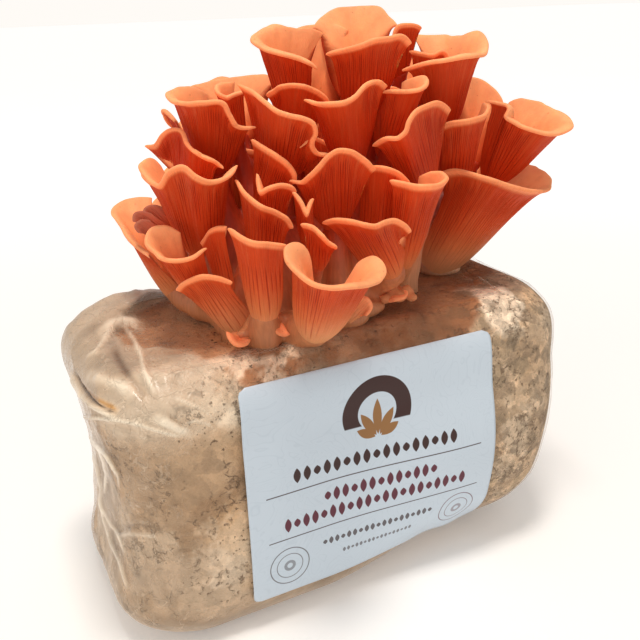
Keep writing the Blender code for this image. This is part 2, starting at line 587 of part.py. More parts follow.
def stem_tube(fruit, cluster):
    """A tapered tube along a cubic Bezier curve that rises from the root and ends just under the fruit's
    foot, square to the fruit's axis."""
    sides = SMALL_STEM_SIDES if fruit.foot_radius <= SMALL_FOOT else STEM_SIDES
    root = stem_root(fruit, cluster)
    reach = np.linalg.norm(fruit.foot - root)
    end = fruit.foot - FOOT_GAP * fruit.axis
    leave = root + cluster.rise * reach * UP
    arrive = fruit.foot - cluster.pull * reach * fruit.axis
    t = np.linspace(0.0, 1.0, STEM_RINGS)[:, None]
    path = (1 - t)**3 * root + 3 * (1 - t)**2 * t * leave + 3 * (1 - t) * t**2 * arrive + t**3 * end
    heading = unit(np.gradient(path, axis=0))
    heading[-1] = fruit.axis
    first = unit(np.cross(heading, ACROSS))
    second = np.cross(heading, first)
    spread = fruit.foot_radius * (STEM_FOOT_SPREAD + (STEM_TOP_SPREAD - STEM_FOOT_SPREAD) * t)
    turns = np.linspace(0.0, 2.0 * np.pi, sides, endpoint=False)
    circle = first[:, None] * np.cos(turns)[:, None] + second[:, None] * np.sin(turns)[:, None]
    points = (path[:, None] + spread[..., None] * circle).reshape(-1, 3)
    faces = [list(range(sides)), list(range(len(points) - sides, len(points)))]
    for low in range(0, (STEM_RINGS - 1) * sides, sides):
        for step in range(sides):
            along = (step + 1) % sides
            faces.append([low + step, low + along, low + along + sides, low + step + sides])
    return solid_mesh(fruit.name + "_stem", points, faces)


def base_lumps(cluster):
    """The lumps where a cluster's stems fuse: ellipsoids along the cluster's line."""
    along = unit(cluster.end - cluster.start)
    axes = np.array([[along[0], along[1], 0.0], [-along[1], along[0], 0.0], UP])
    meshes = []
    for lump in cluster.lumps:
        shape = bmesh.new()
        bmesh.ops.create_icosphere(shape, subdivisions=1, radius=1.0)
        points = np.array([vert.co for vert in shape.verts]) * lump.radii @ axes + lump.middle
        faces = [[vert.index for vert in face.verts] for face in shape.faces]
        shape.free()
        meshes.append(solid_mesh(cluster.name + "_lump", points, faces))
    return meshes


def helper_group(name, meshes):
    """A collection of cutters, one for each mesh."""
    group = bpy.data.collections.new(name)
    bpy.context.scene.collection.children.link(group)
    for mesh in meshes:
        helper = bpy.data.objects.new(mesh.name, mesh)
        group.objects.link(helper)
        helper.hide_render = True
        helper.display_type = "WIRE"
    return group


def remove_group(group):
    for helper in list(group.objects):
        bpy.data.objects.remove(helper)
    bpy.data.collections.remove(group)


def cut_by_group(obj, group, operation):
    """A Boolean with every mesh of a group. The exact solver loses stems among so many crossings, and the
    manifold one keeps them; all of these meshes are closed."""
    boolean = obj.modifiers.new(group.name, "BOOLEAN")
    boolean.operation = operation
    boolean.solver = "MANIFOLD"
    boolean.operand_type = "COLLECTION"
    boolean.collection = group


def merge_slivers(mesh):
    """Joins points that the cuts left nearly touching."""
    shape = bmesh.new()
    shape.from_mesh(mesh)
    bmesh.ops.triangulate(shape, faces=shape.faces)
    bmesh.ops.dissolve_degenerate(shape, dist=SLIVER * MM, edges=shape.edges)
    bmesh.ops.triangulate(shape, faces=shape.faces)
    shape.to_mesh(mesh)
    shape.free()


def keep_largest_island(mesh):
    """Deletes every loose bit but the one with most vertices."""
    shape = bmesh.new()
    shape.from_mesh(mesh)
    left = set(shape.verts)
    islands = []
    while left:
        island, search = set(), [left.pop()]
        while search:
            vert = search.pop()
            island.add(vert)
            beside = {edge.other_vert(vert) for edge in vert.link_edges} & left
            left -= beside
            search.extend(beside)
        islands.append(island)
    keep = max(islands, key=len)
    loose = [vert for island in islands if island is not keep for vert in island]
    bmesh.ops.delete(shape, geom=loose, context="VERTS")
    shape.to_mesh(mesh)
    shape.free()


def make_stem_cluster(cluster, fruits, rooms):
    """All stems of a cluster and its lump fused into one body, cut clear of the neighbours' rooms."""
    first, *others = base_lumps(cluster)
    others += [stem_tube(fruit, cluster) for fruit in fruits]
    stems = helper_group(cluster.name + "_stems", others)
    whole = add_object(cluster.name + "_whole", first)
    cut_by_group(whole, stems, "UNION")
    cut_by_group(whole, rooms, "DIFFERENCE")
    graph = bpy.context.evaluated_depsgraph_get()
    mesh = bpy.data.meshes.new_from_object(whole.evaluated_get(graph))
    bpy.data.objects.remove(whole)
    remove_group(stems)
    merge_slivers(mesh)
    keep_largest_island(mesh)
    mesh.name = cluster.name
    mesh.materials.clear()
    return add_object(cluster.name, mesh, STEM)


def bag_room():
    """The bag and block with their clearance, less the slot's middle, where the stems come out."""
    solid = add_helper("bag_room_solid", solid_mesh("bag_room", *pillow(-CLEARANCE, True)))
    half_width = SLOT_HALF_WIDTH - CLEARANCE
    hole = add_helper("slot_room", slot_mesh("slot_room", half_width, STEM_FLOOR, SLOT_CUT_TOP))
    cut(solid, hole)
    graph = bpy.context.evaluated_depsgraph_get()
    mesh = bpy.data.meshes.new_from_object(solid.evaluated_get(graph))
    bpy.data.objects.remove(solid)
    bpy.data.objects.remove(hole)
    mesh.name = "bag_room"
    return mesh


def make_stems(fruits):
    rooms = helper_group("rooms", [fattened(fruit.mesh, CLEARANCE) for fruit in fruits] + [bag_room()])
    right = [fruit for fruit in fruits if fruit.name in RIGHT_CAPS]
    main = [fruit for fruit in fruits if fruit.name not in RIGHT_CAPS]
    make_stem_cluster(MAIN_CLUSTER, main, rooms)
    make_stem_cluster(RIGHT_CLUSTER, right, rooms)
    remove_group(rooms)


def main():
    clear_scene()
    make_block()
    make_bag()
    make_label()
    fruits = [make_seen(cap, FRUIT) for cap in SEEN_CAPS]
    fruits += [make_hidden(cap) for cap in HIDDEN_CAPS]
    fruits += [make_seen(pin, YOUNG_FRUIT) for pin in PINS]
    make_stems(fruits)


main()
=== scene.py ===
"""Oyster mushroom grow kit: the looks of its bagged block, its label and its cluster of fruit bodies.

Lengths are in millimetres until the mesh maker turns them into metres. The frame has its origin under the
middle of the block on the resting face, +X along the block, -Y to the label, +Z up.
"""

from collections import namedtuple

import bpy
import numpy as np
from mathutils import Matrix


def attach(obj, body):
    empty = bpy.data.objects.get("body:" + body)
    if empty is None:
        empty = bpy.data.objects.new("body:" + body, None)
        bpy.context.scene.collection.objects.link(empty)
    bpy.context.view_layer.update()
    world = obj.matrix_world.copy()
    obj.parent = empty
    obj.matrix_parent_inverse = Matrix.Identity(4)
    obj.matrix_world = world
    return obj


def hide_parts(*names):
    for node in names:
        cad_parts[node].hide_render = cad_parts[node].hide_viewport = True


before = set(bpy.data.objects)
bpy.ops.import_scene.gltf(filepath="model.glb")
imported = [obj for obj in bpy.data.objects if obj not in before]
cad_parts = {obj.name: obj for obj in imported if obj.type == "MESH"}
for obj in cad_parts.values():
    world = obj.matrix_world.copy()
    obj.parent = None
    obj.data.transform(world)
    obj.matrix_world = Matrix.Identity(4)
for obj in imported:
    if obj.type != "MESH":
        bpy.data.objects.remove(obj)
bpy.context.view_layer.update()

MM = 0.001

# Sight lines of the photograph, 640 pixels square: where its eye is in the part's frame and how it looks
PICTURE_SIDE = 640.0
PICTURE_CENTRE = np.array([320.0, 320.0])
FOCAL_PX = 790.0
SENSOR_MM = 36.0
EYE = np.array([-144.3, -309.1, 248.0])
YAW, PITCH, ROLL = np.radians([26.2, 21.5, 2.1])

# The cluster's own axes: across the view, toward the viewer, and up from the top of the block
CLUSTER_ORIGIN = np.array([-5.0, 0.0, 120.0])
ACROSS = np.array([np.cos(YAW), -np.sin(YAW), 0.0])
NEAR = np.array([-np.sin(YAW), -np.cos(YAW), 0.0])
UP = np.array([0.0, 0.0, 1.0])
CORE = CLUSTER_ORIGIN + 12.0 * ACROSS - 10.0 * NEAR + 30.0 * UP

# Fruit bodies that the photograph shows. rim: pixels along the rim. near: how far the rim stands toward
# the viewer, evenly spread along it. foot: the pixel where the fan ends in its stem, and how near it is.
# waist: how far the body is drawn in below the rim.
Cap = namedtuple("Cap", "name rim near foot foot_near foot_radius faces_away waist",
                 defaults=(False, 1.0))
SEEN_CAPS = (
    Cap("cap_front_1", ((177, 291), (190, 282), (204, 278), (218, 280), (232, 284)),
        (44, 52, 50), (238, 325), 36, 6.0),
    Cap("cap_front_2", ((227, 229), (238, 238), (255, 245), (270, 246), (288, 248)),
        (58, 68, 66), (264, 315), 49, 5.0),
    Cap("cap_front_3", ((304, 262), (303, 252), (296, 246), (286, 250), (285, 260), (296, 275), (312, 287),
                        (330, 291), (350, 289), (367, 287), (380, 281), (384, 270), (376, 260), (360, 263)),
        (58, 70, 82, 84, 76, 60, 50), (316, 330), 48, 6.0),
    Cap("cap_front_4", ((200, 243), (207, 234), (216, 229), (225, 229)),
        (30, 38, 46), (228, 300), 31, 3.0),
    Cap("cap_front_5", ((300, 225), (310, 229), (320, 237), (328, 245), (337, 249)),
        (54, 58, 54), (318, 266), 38, 2.5),
    Cap("cap_left_1", ((150, 258), (133, 246), (121, 230), (115, 210), (125, 203), (138, 200), (152, 199)),
        (22, 12, -4, -16, -18), (175, 289), 8, 5.5),
    Cap("cap_left_2", ((207, 249), (195, 259), (175, 263), (156, 257), (146, 243), (150, 232), (165, 226),
                       (180, 232)),
        (50, 52, 44, 36, 34), (200, 293), 25, 4.0),
    Cap("cap_left_3", ((238, 166), (234, 174), (223, 182), (208, 184), (194, 178), (182, 169), (171, 173),
                       (158, 188), (146, 180), (140, 167), (147, 160), (160, 167)),
        (40, 48, 52, 50, 42, 30, 20), (200, 249), 12, 5.0),
    Cap("cap_left_4", ((145, 147), (154, 146), (161, 137), (170, 130), (179, 131), (185, 144), (193, 153),
                       (204, 160), (215, 164), (223, 169)),
        (12, 20, 28, 34, 34), (190, 192), 8, 4.0),
    Cap("cap_left_5", ((256, 128), (246, 130), (236, 128), (229, 117), (223, 106), (205, 105), (185, 106),
                       (172, 103), (167, 97), (176, 90), (192, 89), (206, 94)),
        (26, 30, 32, 34, 30, 22, 12, 6), (213, 165), 6, 4.5),
    Cap("cap_left_6", ((246, 93), (236, 96), (226, 100), (219, 97), (214, 88), (222, 84), (234, 83)),
        (10, 14, 14, 6, 2), (236, 140), 0, 3.5),
    Cap("cap_left_7", ((190, 88), (208, 85), (224, 81), (240, 79), (256, 77), (268, 78), (277, 85)),
        (-14, -24, -26, -20), (240, 140), -12, 4.5, True),
    Cap("cap_middle_1", ((235, 181), (240, 191), (250, 201), (262, 209), (275, 214), (285, 220), (292, 229)),
        (40, 52, 46), (262, 262), 24, 4.5),
    Cap("cap_middle_2", ((256, 174), (256, 186), (260, 195), (270, 190), (282, 187), (291, 189), (296, 193)),
        (40, 44, 38), (270, 228), 20, 3.0),
    Cap("cap_middle_3", ((292, 193), (299, 205), (307, 217), (311, 208), (315, 199)),
        (46, 50, 44), (306, 238), 28, 2.5),
    Cap("cap_middle_4", ((251, 141), (262, 149), (275, 157), (286, 165), (293, 175), (294, 184)),
        (30, 38, 32), (264, 209), 9, 4.0),
    Cap("cap_middle_5", ((290, 182), (300, 184), (310, 179), (320, 168), (330, 157), (339, 152), (350, 153),
                         (362, 160), (375, 171)),
        (35, 43, 45, 33), (335, 222), 17, 5.0),
    Cap("cap_middle_6", ((322, 224), (335, 222), (350, 223), (365, 227), (376, 228), (386, 224), (396, 222),
                         (404, 226), (411, 232)),
        (40, 50, 50, 42), (390, 272), 16, 5.0),
    Cap("cap_middle_7", ((390, 182), (402, 185), (415, 188), (430, 188), (442, 186), (448, 180), (444, 174),
                         (432, 173), (420, 176)),
        (36, 42, 40, 28, 20), (403, 262), 2, 4.5),
    Cap("cap_middle_8", ((356, 179), (363, 173), (373, 169), (385, 170), (398, 175), (409, 184)),
        (22, 30, 26), (374, 240), 8, 4.0),
    Cap("cap_middle_9", ((237, 85), (250, 93), (262, 103), (275, 113), (290, 118), (303, 121), (314, 127),
                         (316, 134), (312, 142), (315, 153), (322, 157), (328, 155)),
        (22, 32, 40, 40, 36, 30), (280, 172), 10, 5.0),
    Cap("cap_middle_10", ((267, 97), (275, 91), (288, 87), (303, 88), (318, 94), (329, 103)),
        (10, 20, 14), (296, 140), 0, 4.0),
    Cap("cap_middle_11", ((304, 101), (316, 106), (330, 106), (346, 104), (357, 98), (366, 88), (376, 83),
                          (387, 87)),
        (26, 34, 34, 28, 18), (352, 160), 8, 5.0),
    Cap("cap_middle_12", ((383, 93), (396, 94), (410, 94), (420, 92), (428, 86), (426, 79), (414, 80),
                          (403, 84)),
        (10, 18, 18, 8, 0), (392, 142), 0, 4.0),
    Cap("cap_middle_13", ((374, 147), (386, 141), (399, 140), (407, 133), (411, 122), (418, 112), (428, 107),
                          (438, 104), (446, 106), (451, 110)),
        (18, 28, 28, 22, 12), (425, 185), 0, 4.5),
    Cap("cap_right_1", ((441, 173), (456, 172), (475, 177), (495, 183), (515, 189), (535, 193), (549, 190),
                        (550, 181), (540, 172), (525, 166), (507, 164), (493, 170)),
        (-8, 6, 6, -4, -24, -44, -50), (437, 261), -42, 9.5, False, 0.84),
    Cap("cap_right_2", ((438, 129), (450, 125), (465, 123), (478, 120), (488, 115), (490, 108), (484, 103)),
        (2, 10, 6, -6), (455, 195), -26, 4.5),
    Cap("cap_right_3", ((486, 103), (497, 105), (507, 109), (504, 117), (514, 125), (530, 132), (546, 136),
                        (561, 135), (572, 128), (566, 119), (553, 111), (538, 104), (522, 101), (509, 104)),
        (-14, -10, -8, -6, -10, -24, -40, -52), (492, 178), -36, 4.5),
    Cap("cap_right_4", ((452, 80), (466, 79), (481, 82), (493, 90), (503, 104)),
        (-44, -50, -44), (468, 165), -40, 5.0, True),
    Cap("cap_top_1", ((317, 69), (300, 62), (280, 56), (262, 50), (252, 42), (262, 34), (275, 28), (292, 30),
                      (310, 30), (322, 35)),
        (8, 12, 2, -16, -30), (295, 108), -14, 5.0),
    Cap("cap_top_2", ((327, 56), (345, 52), (362, 47), (375, 42), (390, 40), (404, 38), (411, 44)),
        (8, 20, 10), (364, 112), -6, 5.5),
    Cap("cap_top_3", ((394, 38), (399, 28), (410, 26), (422, 28)),
        (-10, -10, -16), (400, 75), -22, 3.0),
    Cap("cap_top_4", ((409, 52), (420, 55), (433, 57), (445, 53), (449, 60)),
        (-14, -10, -14), (425, 100), -22, 3.0),
    Cap("cap_top_5", ((403, 72), (416, 68), (430, 65), (445, 63), (460, 60), (475, 58), (486, 55), (487, 45),
                      (480, 35), (462, 38), (445, 38), (428, 37), (413, 38)),
        (2, 10, 4, -12, -30, -34), (442, 125), -20, 5.0, False, 0.85),
    Cap("cap_top_6", ((313, 29), (323, 19), (335, 12), (350, 10), (366, 9), (380, 10), (388, 19), (398, 26)),
        (-36, -44, -34), (352, 95), -22, 5.0, True),
)

# Fruit bodies on the hidden side. Across, near and up place the middle of the rim in the cluster's axes.
# Facing is the way it opens, in degrees from straight away toward +across. Bend is half the rim's arc.
# Waves and phase ruffle it. The foot lies inward and down from the middle of the rim.
HiddenCap = namedtuple("HiddenCap", "name across near up facing width bend ruffle waves phase inward down "
                       "foot_radius")
HIDDEN_CAPS = (
    HiddenCap("cap_back_1", -64, -36, 42, -52, 32, 80, 5.0, 1.5, 0.3, 18, 20, 4.5),
    HiddenCap("cap_back_2", -36, -62, 40, -28, 38, 95, 6.0, 1.5, 2.0, 24, 22, 5.0),
    HiddenCap("cap_back_3", 12, -76, 42, 0, 42, 85, 6.0, 1.5, 4.0, 28, 23, 5.0),
    HiddenCap("cap_back_4", 52, -78, 38, 8, 34, 95, 4.0, 1.5, 1.0, 26, 19, 4.5),
    HiddenCap("cap_back_5", -62, -8, 62, -82, 30, 80, 5.0, 1.5, 3.0, 18, 28, 4.5),
    HiddenCap("cap_back_6", -52, -41, 82, -50, 30, 95, 5.0, 1.5, 5.0, 18, 28, 4.0),
    HiddenCap("cap_back_7", -8, -64, 78, -6, 42, 85, 6.0, 1.5, 0.8, 22, 32, 5.0),
    HiddenCap("cap_back_8", 40, -68, 74, 6, 36, 95, 5.0, 1.5, 2.6, 22, 30, 4.5),
    HiddenCap("cap_back_9", -30, -46, 95, -25, 36, 95, 4.0, 1.5, 1.6, 12, 24, 4.0),
    HiddenCap("cap_back_10", 64, -62, 106, 12, 32, 95, 4.0, 1.5, 3.8, 12, 26, 4.0),
    HiddenCap("cap_back_11", 118, -62, 46, 68, 28, 80, 4.0, 1.5, 0.0, 29, 32, 4.5),
    HiddenCap("cap_back_12", 86, -98, 52, 5, 42, 95, 5.0, 1.5, 2.2, 26, 38, 5.5),
    HiddenCap("cap_back_13", 18, -62, 109, 0, 42, 80, 4.0, 1.5, 4.6, 16, 28, 4.5),
)

# A cluster's stems leave the block along a line, within a spread of it, and fuse in lumps at its foot.
# Rise and pull say how far they run straight up from the root and straight into the foot.
Cluster = namedtuple("Cluster", "name start end spread rise pull lumps")
Lump = namedtuple("Lump", "middle radii")
MAIN_CLUSTER = Cluster(
    "stem_cluster_main", np.array([-38.0, -24.0]), np.array([44.0, -1.0]), 11.0, 0.4, 0.35,
    (Lump((8.0, -6.0, 124.0), (54.0, 15.0, 44.0)), Lump((-2.0, -17.5, 122.5), (42.0, 11.5, 9.0))),
)
RIGHT_CLUSTER = Cluster(
    "stem_cluster_right", np.array([83.0, 21.0]), np.array([97.0, 23.5]), 4.5, 0.8, 0.25,
    (Lump((87.0, 17.0, 124.0), (12.0, 9.0, 14.0)),),
)
RIGHT_CAPS = {"cap_right_1", "cap_right_2", "cap_right_3", "cap_right_4", "cap_back_11", "cap_back_12"}

# Young mushrooms and curled bits at the cluster's foot, given as small fans in the same way
PINS = (
    Cap("pin_front_1", ((227, 333), (230, 341), (237, 346), (246, 345), (250, 340)),
        (52, 58, 54), (242, 336), 47, 2.5),
    Cap("pin_front_2", ((275, 312), (272, 322), (275, 331), (282, 335), (289, 333)),
        (45, 49, 46), (281, 318), 40, 2.2),
    Cap("pin_front_3", ((351, 304), (358, 299), (366, 300), (370, 307), (365, 316)),
        (36, 39, 38), (346, 319), 31, 2.5),
    Cap("pin_right_1", ((380, 296), (387, 301), (397, 302), (406, 297), (407, 289)),
        (12, 20, 12), (389, 286), 4, 2.3),
)

# Inner folds: fans deep between the others, which hide all but a glimpse of them
INNER_FOLDS = (
    Cap("inner_fold_1", ((210, 154), (224, 150), (240, 150), (256, 152)),
        (-6, -4, -6), (236, 216), -8, 4.0),
    Cap("inner_fold_2", ((306, 128), (316, 124), (328, 121), (342, 119)),
        (-4, -2, -4), (322, 188), 0, 4.0),
    Cap("inner_fold_3", ((368, 91), (380, 89), (392, 89), (404, 92)),
        (-6, -2, -6), (386, 152), -6, 4.0),
    Cap("inner_fold_4", ((286, 38), (300, 30), (318, 27), (334, 27), (348, 32)),
        (-34, -38, -36), (318, 130), -22, 8.0, True),
    Cap("inner_fold_5", ((300, 142), (308, 138), (318, 140), (328, 144)),
        (6, 8, 6), (316, 184), 6, 3.5),
)

# Small folds in the cluster's left side, dark partly in their own colour and partly with painted shade
DARK_FOLDS = (
    Cap("dark_fold_1", ((143, 215), (146, 208), (155, 206), (164, 209)),
        (15, 13, 11), (173, 226), 13, 2.0),
    Cap("dark_fold_2", ((134, 222), (136, 214), (144, 212), (153, 215)),
        (19, 17, 15), (171, 233), 16, 2.0),
    Cap("dark_fold_3", ((139, 233), (136, 226), (142, 221), (151, 222)),
        (21, 20, 18), (171, 241), 18, 2.0),
)


# The bag's outer outline at each height: left end, right end, front, back and corner radius. Over it come
# rings that shrink to the slot at their own heights, or to the top's middle where there is no slot.
BAG_HEIGHT = 124.0
BAG_LEVELS = np.array([
    (0.0, -86.0, 81.0, -38.0, 38.0, 26.0),
    (3.5, -96.5, 91.0, -47.5, 47.5, 28.0),
    (14.0, -105.5, 103.0, -53.5, 53.5, 29.0),
    (30.0, -103.0, 109.0, -55.0, 55.0, 31.0),
    (58.0, -99.5, 111.5, -55.5, 56.0, 30.0),
    (88.0, -102.0, 113.5, -55.0, 55.0, 28.0),
    (115.0, -104.0, 111.0, -53.0, 53.5, 25.0),
    (122.5, -97.0, 104.5, -45.0, 46.5, 22.0),
])
TOP_HEIGHTS = ((0.72, 123.4), (0.4, 123.9), (0.0, 124.2))
TOP_MIDDLE = np.array([3.0, 0.0])
SMALLEST_RING = 0.004
SLOT_START = np.array([-36.0, -26.0])
SLOT_END = np.array([86.0, 14.0])
SLOT_MIDDLE = (SLOT_START + SLOT_END) / 2.0
SLOT_HALF_WIDTH = 18.0

# How far the front leans out and is tucked in, and the empty corner of film at the back left
BELLY, TUCK = 7.0, 14.0
BELLY_HEIGHT, BELLY_REACH = 62.0, 34.0
POCKET_RISE = 9.0
POCKET_MIDDLE = np.array([-74.0, 34.0])
POCKET_REACH = np.array([22.0, 16.0])
POCKET_SLACK, POCKET_SLACK_WIDTH = 1.9, 9.0

# Where the loose left end begins and how soon it is fully loose, and the front, the upper edge and the
# top of the block as its look and the film's haze take them
LEFT_START, LEFT_RUN = -62.0, 26.0
FRONT_FACE, UPPER_EDGE, TOP_FACE = -33.0, 98.0, 108.0

# Points along each straight side and corner of the bag's outline: front, corner, right and so on round
SIDE_POINTS = (120, 26, 28, 18, 46, 26, 76, 64)
FRONT_CROWDING = 1.35
FILM_ROWS, BLOCK_ROWS = 240, 150
FILM_EDGE_ROWS = 8.0

# The pressed block: how far it lies inside the bag, how it swells and falls short of the bag, its lumps
# and grains, the cluster's shadow painted round the slot, and a pool of painted light at the top's right end
BLOCK_INSET = 1.1
BLOCK_SWELL, EMPTY_DEPTH = 1.25, 2.2
LUMP_DEPTH = 2.0
GRAIN_DEPTH, GRAIN_SIZE = 0.35, 2.6
BROAD_LUMP, SMALL_LUMP = 24.0, 8.0
BROAD_SHARE, SMALL_SHARE = 0.55, 0.45
SHADOW_PAINT_START = np.array([-50.0, 4.0])
SHADOW_PAINT_END = np.array([34.0, -28.0])
SHADOW_PAINT_REACH = 36.0
LIT_PATCH_MIDDLE = np.array([77.0, -42.0])
LIT_PATCH_RADII = np.array([9.5, 15.0])

# The label on the bag's front
LABEL_LEFT, LABEL_RIGHT = -55.0, 63.0
LABEL_BOTTOM, LABEL_TOP = 14.0, 115.0
LABEL_CORNER = 3.5
LABEL_STAND_OFF, LABEL_THICK = 0.45, 0.25
LABEL_MARGIN, LABEL_SOFT = 4.0, 5.0
LABEL_RIPPLE = 0.35
LABEL_GRID = (96, 84)

# Fruit bodies: how far each wraps round its axis, how its columns leave the foot and arrive at the rim,
# and the hollow between its sides
CAP_THICK = 2.2
FAN_WRAP = np.radians(105.0)
BULGE_REACH = 15.0
FOOT_SINK, FOOT_DRAW = 2.6, 0.86
SEEN_SPREAD, HIDDEN_SPREAD = 0.5, 0.42
LEAVE_RISE = 0.22
ARRIVE_RISE, ARRIVE_SIDE = 0.76, 0.60
CUP_FLOOR, CUP_WALL, CUP_DRAW = 0.42, 0.52, 0.82

# Their rolled lip, ruffle and gills, how thin their sides are, the rows of their grid, and how much of
# the map a millimetre takes
LIP_START, LIP_RISE, FULL_LIP_LENGTH = 0.72, 2.1, 60.0
LIP_WAVE = 14.0
RUFFLE, RUFFLE_WAVE, RUFFLE_START = 0.7, 7.0, 0.3
GILL_PITCH, HIDDEN_GILL_PITCH, GILL_DEPTH = 1.1, 1.8, 0.3
MAIN_GROOVE_START, MIDDLE_GROOVE_START, SHORT_GROOVE_START = 0.10, 0.34, 0.56
GROOVE_STOP, GROOVE_STOP_SPREAD = 0.97, 0.16
GROOVE_FADE_IN, GROOVE_FADE_OUT = 0.16, 0.10
SIDE_THINNESS = 0.35
FAN_ROWS, LIP_ROWS, RIM_STEPS = 11, 9, 5
RIM_SAMPLES = 41
PLACE_SCALE = 0.01

# Stems, lumps and knobs: how thick the stems are for the fans' feet, their grids, how uneven the lumps
# are, how far a stem runs into its fan, and the cells of the fused skin
STEM_TOP_SPREAD, STEM_FOOT_SPREAD = 1.02, 1.3
STEM_FLOOR = 122.0
STEM_SIDES, STEM_RINGS = 20, 26
LUMP_STEPS, KNOB_STEPS = (20, 36), (12, 18)
LUMP_UNEVENNESS, KNOB_UNEVENNESS = 0.12, 0.2
STEM_OVERLAP = 2.2
STEM_VOXEL, NUB_VOXEL = 1.15, 0.5

# The noise numbers that keep the young fruit bodies and the folds apart from the rest
YOUNG_SEED, INNER_SEED, DARK_FOLD_SEED = 80, 100, 120


def unit(vectors):
    """Vectors over their lengths."""
    return vectors / np.maximum(np.linalg.norm(vectors, axis=-1, keepdims=True), 1e-9)


def smooth_step(values):
    """Three times the square less twice the cube of values held between 0 and 1."""
    clipped = np.clip(values, 0.0, 1.0)
    return clipped * clipped * (3.0 - 2.0 * clipped)


def rising(values, start, run):
    """0 up to a start, then a smooth step up to 1 over a run."""
    return smooth_step((values - start) / run)


def falling(values, end, run):
    """0 down to an end, then a smooth step up to 1 over a run below it."""
    return smooth_step((end - values) / run)


def distance_along(points):
    """How far each point is along the straight runs that join them."""
    return np.append(0.0, np.cumsum(np.linalg.norm(np.diff(points, axis=0), axis=1)))


def bezier(t, start, leave, arrive, end):
    """Points on a cubic Bezier curve, from its two ends and the two points that it heads for."""
    return (1 - t)**3 * start + 3 * (1 - t)**2 * t * leave + 3 * (1 - t) * t**2 * arrive + t**3 * end


def view_axes():
    """Right, down and forward of the photograph's view, from its yaw, pitch and roll."""
    forward = np.array([np.sin(YAW) * np.cos(PITCH), np.cos(YAW) * np.cos(PITCH), -np.sin(PITCH)])
    right = np.array([np.cos(YAW), -np.sin(YAW), 0.0])
    down = np.cross(forward, right)
    turned_right = np.cos(ROLL) * right + np.sin(ROLL) * down
    turned_down = np.cos(ROLL) * down - np.sin(ROLL) * right
    return np.array([turned_right, turned_down, forward])


def sight_point(pixel, near):
    """The point on a pixel's sight line that stands so many millimetres toward the viewer from the
    cluster's middle plane."""
    across_picture = (np.asarray(pixel, float) - PICTURE_CENTRE) / FOCAL_PX
    sight = view_axes().T @ np.append(across_picture, 1.0)
    reach = (near - (EYE - CLUSTER_ORIGIN) @ NEAR) / (sight @ NEAR)
    return EYE + reach * sight


def seen_at(points):
    """The pixels at which points are seen: across and down over depth, times the focal length."""
    sighted = (np.asarray(points) - EYE) @ view_axes().T
    return PICTURE_CENTRE + FOCAL_PX * sighted[..., :2] / sighted[..., 2:]


def smooth_curve(points, count):
    """A number of points along a smooth curve through the given ones: cubic Hermite spans whose slopes
    are the central differences over the chord length."""
    points = np.asarray(points, float)
    chord = distance_along(points)
    chord /= chord[-1]
    slopes = np.gradient(points, chord, axis=0)
    at = np.linspace(0.0, 1.0, count)
    span = np.clip(np.searchsorted(chord, at, side="right") - 1, 0, len(points) - 2)
    length = (chord[span + 1] - chord[span])[:, None]
    part = (at - chord[span])[:, None] / length
    return (
        (2 * part**3 - 3 * part**2 + 1) * points[span]
        + (part**3 - 2 * part**2 + part) * length * slopes[span]
        + (3 * part**2 - 2 * part**3) * points[span + 1]
        + (part**3 - part**2) * length * slopes[span + 1]
    )


# Random values for the corners of the noise's cubes, which repeat after so many each way
LATTICE_SIDE = 32
LATTICE = np.random.default_rng(11).random((LATTICE_SIDE, LATTICE_SIDE, LATTICE_SIDE))


def noise(points, size, seed=0):
    """Smooth noise from 0 to 1: random values at the corners of cubes of a size, blended between them by
    smooth steps. Size is one number, or one for each axis."""
    at = np.asarray(points, float) / size + 5.37 * seed + 100.0
    low = np.floor(at).astype(int)
    part = smooth_step(at - low)
    low %= LATTICE_SIDE
    high = (low + 1) % LATTICE_SIDE
    total = 0.0
    for corner in range(8):
        pick = [(corner >> axis) & 1 for axis in range(3)]
        index = [(high if chosen else low)[..., axis] for axis, chosen in enumerate(pick)]
        shares = [part[..., axis] if chosen else 1.0 - part[..., axis]
                  for axis, chosen in enumerate(pick)]
        total = total + LATTICE[tuple(index)] * shares[0] * shares[1] * shares[2]
    return total


def rough(points, size, octaves=3, seed=0):
    """Noise added at halving sizes and strengths, from 0 to 1."""
    total, weight = 0.0, 0.0
    for octave in range(octaves):
        share = 0.5**octave
        total = total + share * noise(points, np.asarray(size) * share, seed + 3 * octave)
        weight += share
    return total / weight


def grid_faces(rows, columns, wrap_rows=False, wrap_columns=False):
    """Quads between the neighbours in a grid of points, with its last row or column joined to its first
    where it wraps."""
    index = np.arange(rows * columns).reshape(rows, columns)
    if wrap_rows:
        index = np.concatenate([index, index[:1]])
    if wrap_columns:
        index = np.concatenate([index, index[:, :1]], axis=1)
    corners = (index[:-1, :-1], index[:-1, 1:], index[1:, 1:], index[1:, :-1])
    return np.stack([corner.ravel() for corner in corners], axis=1)


def signed_volume(points, faces):
    """Six times the volume inside a closed shape, less than 0 where its faces point inwards."""
    first, second, third = points[faces[:, 0]], points[faces[:, 1]], points[faces[:, 2]]
    total = np.einsum("ij,ij->i", first, np.cross(second, third)).sum()
    if faces.shape[1] == 4:
        fourth = points[faces[:, 3]]
        total += np.einsum("ij,ij->i", first, np.cross(third, fourth)).sum()
    return total


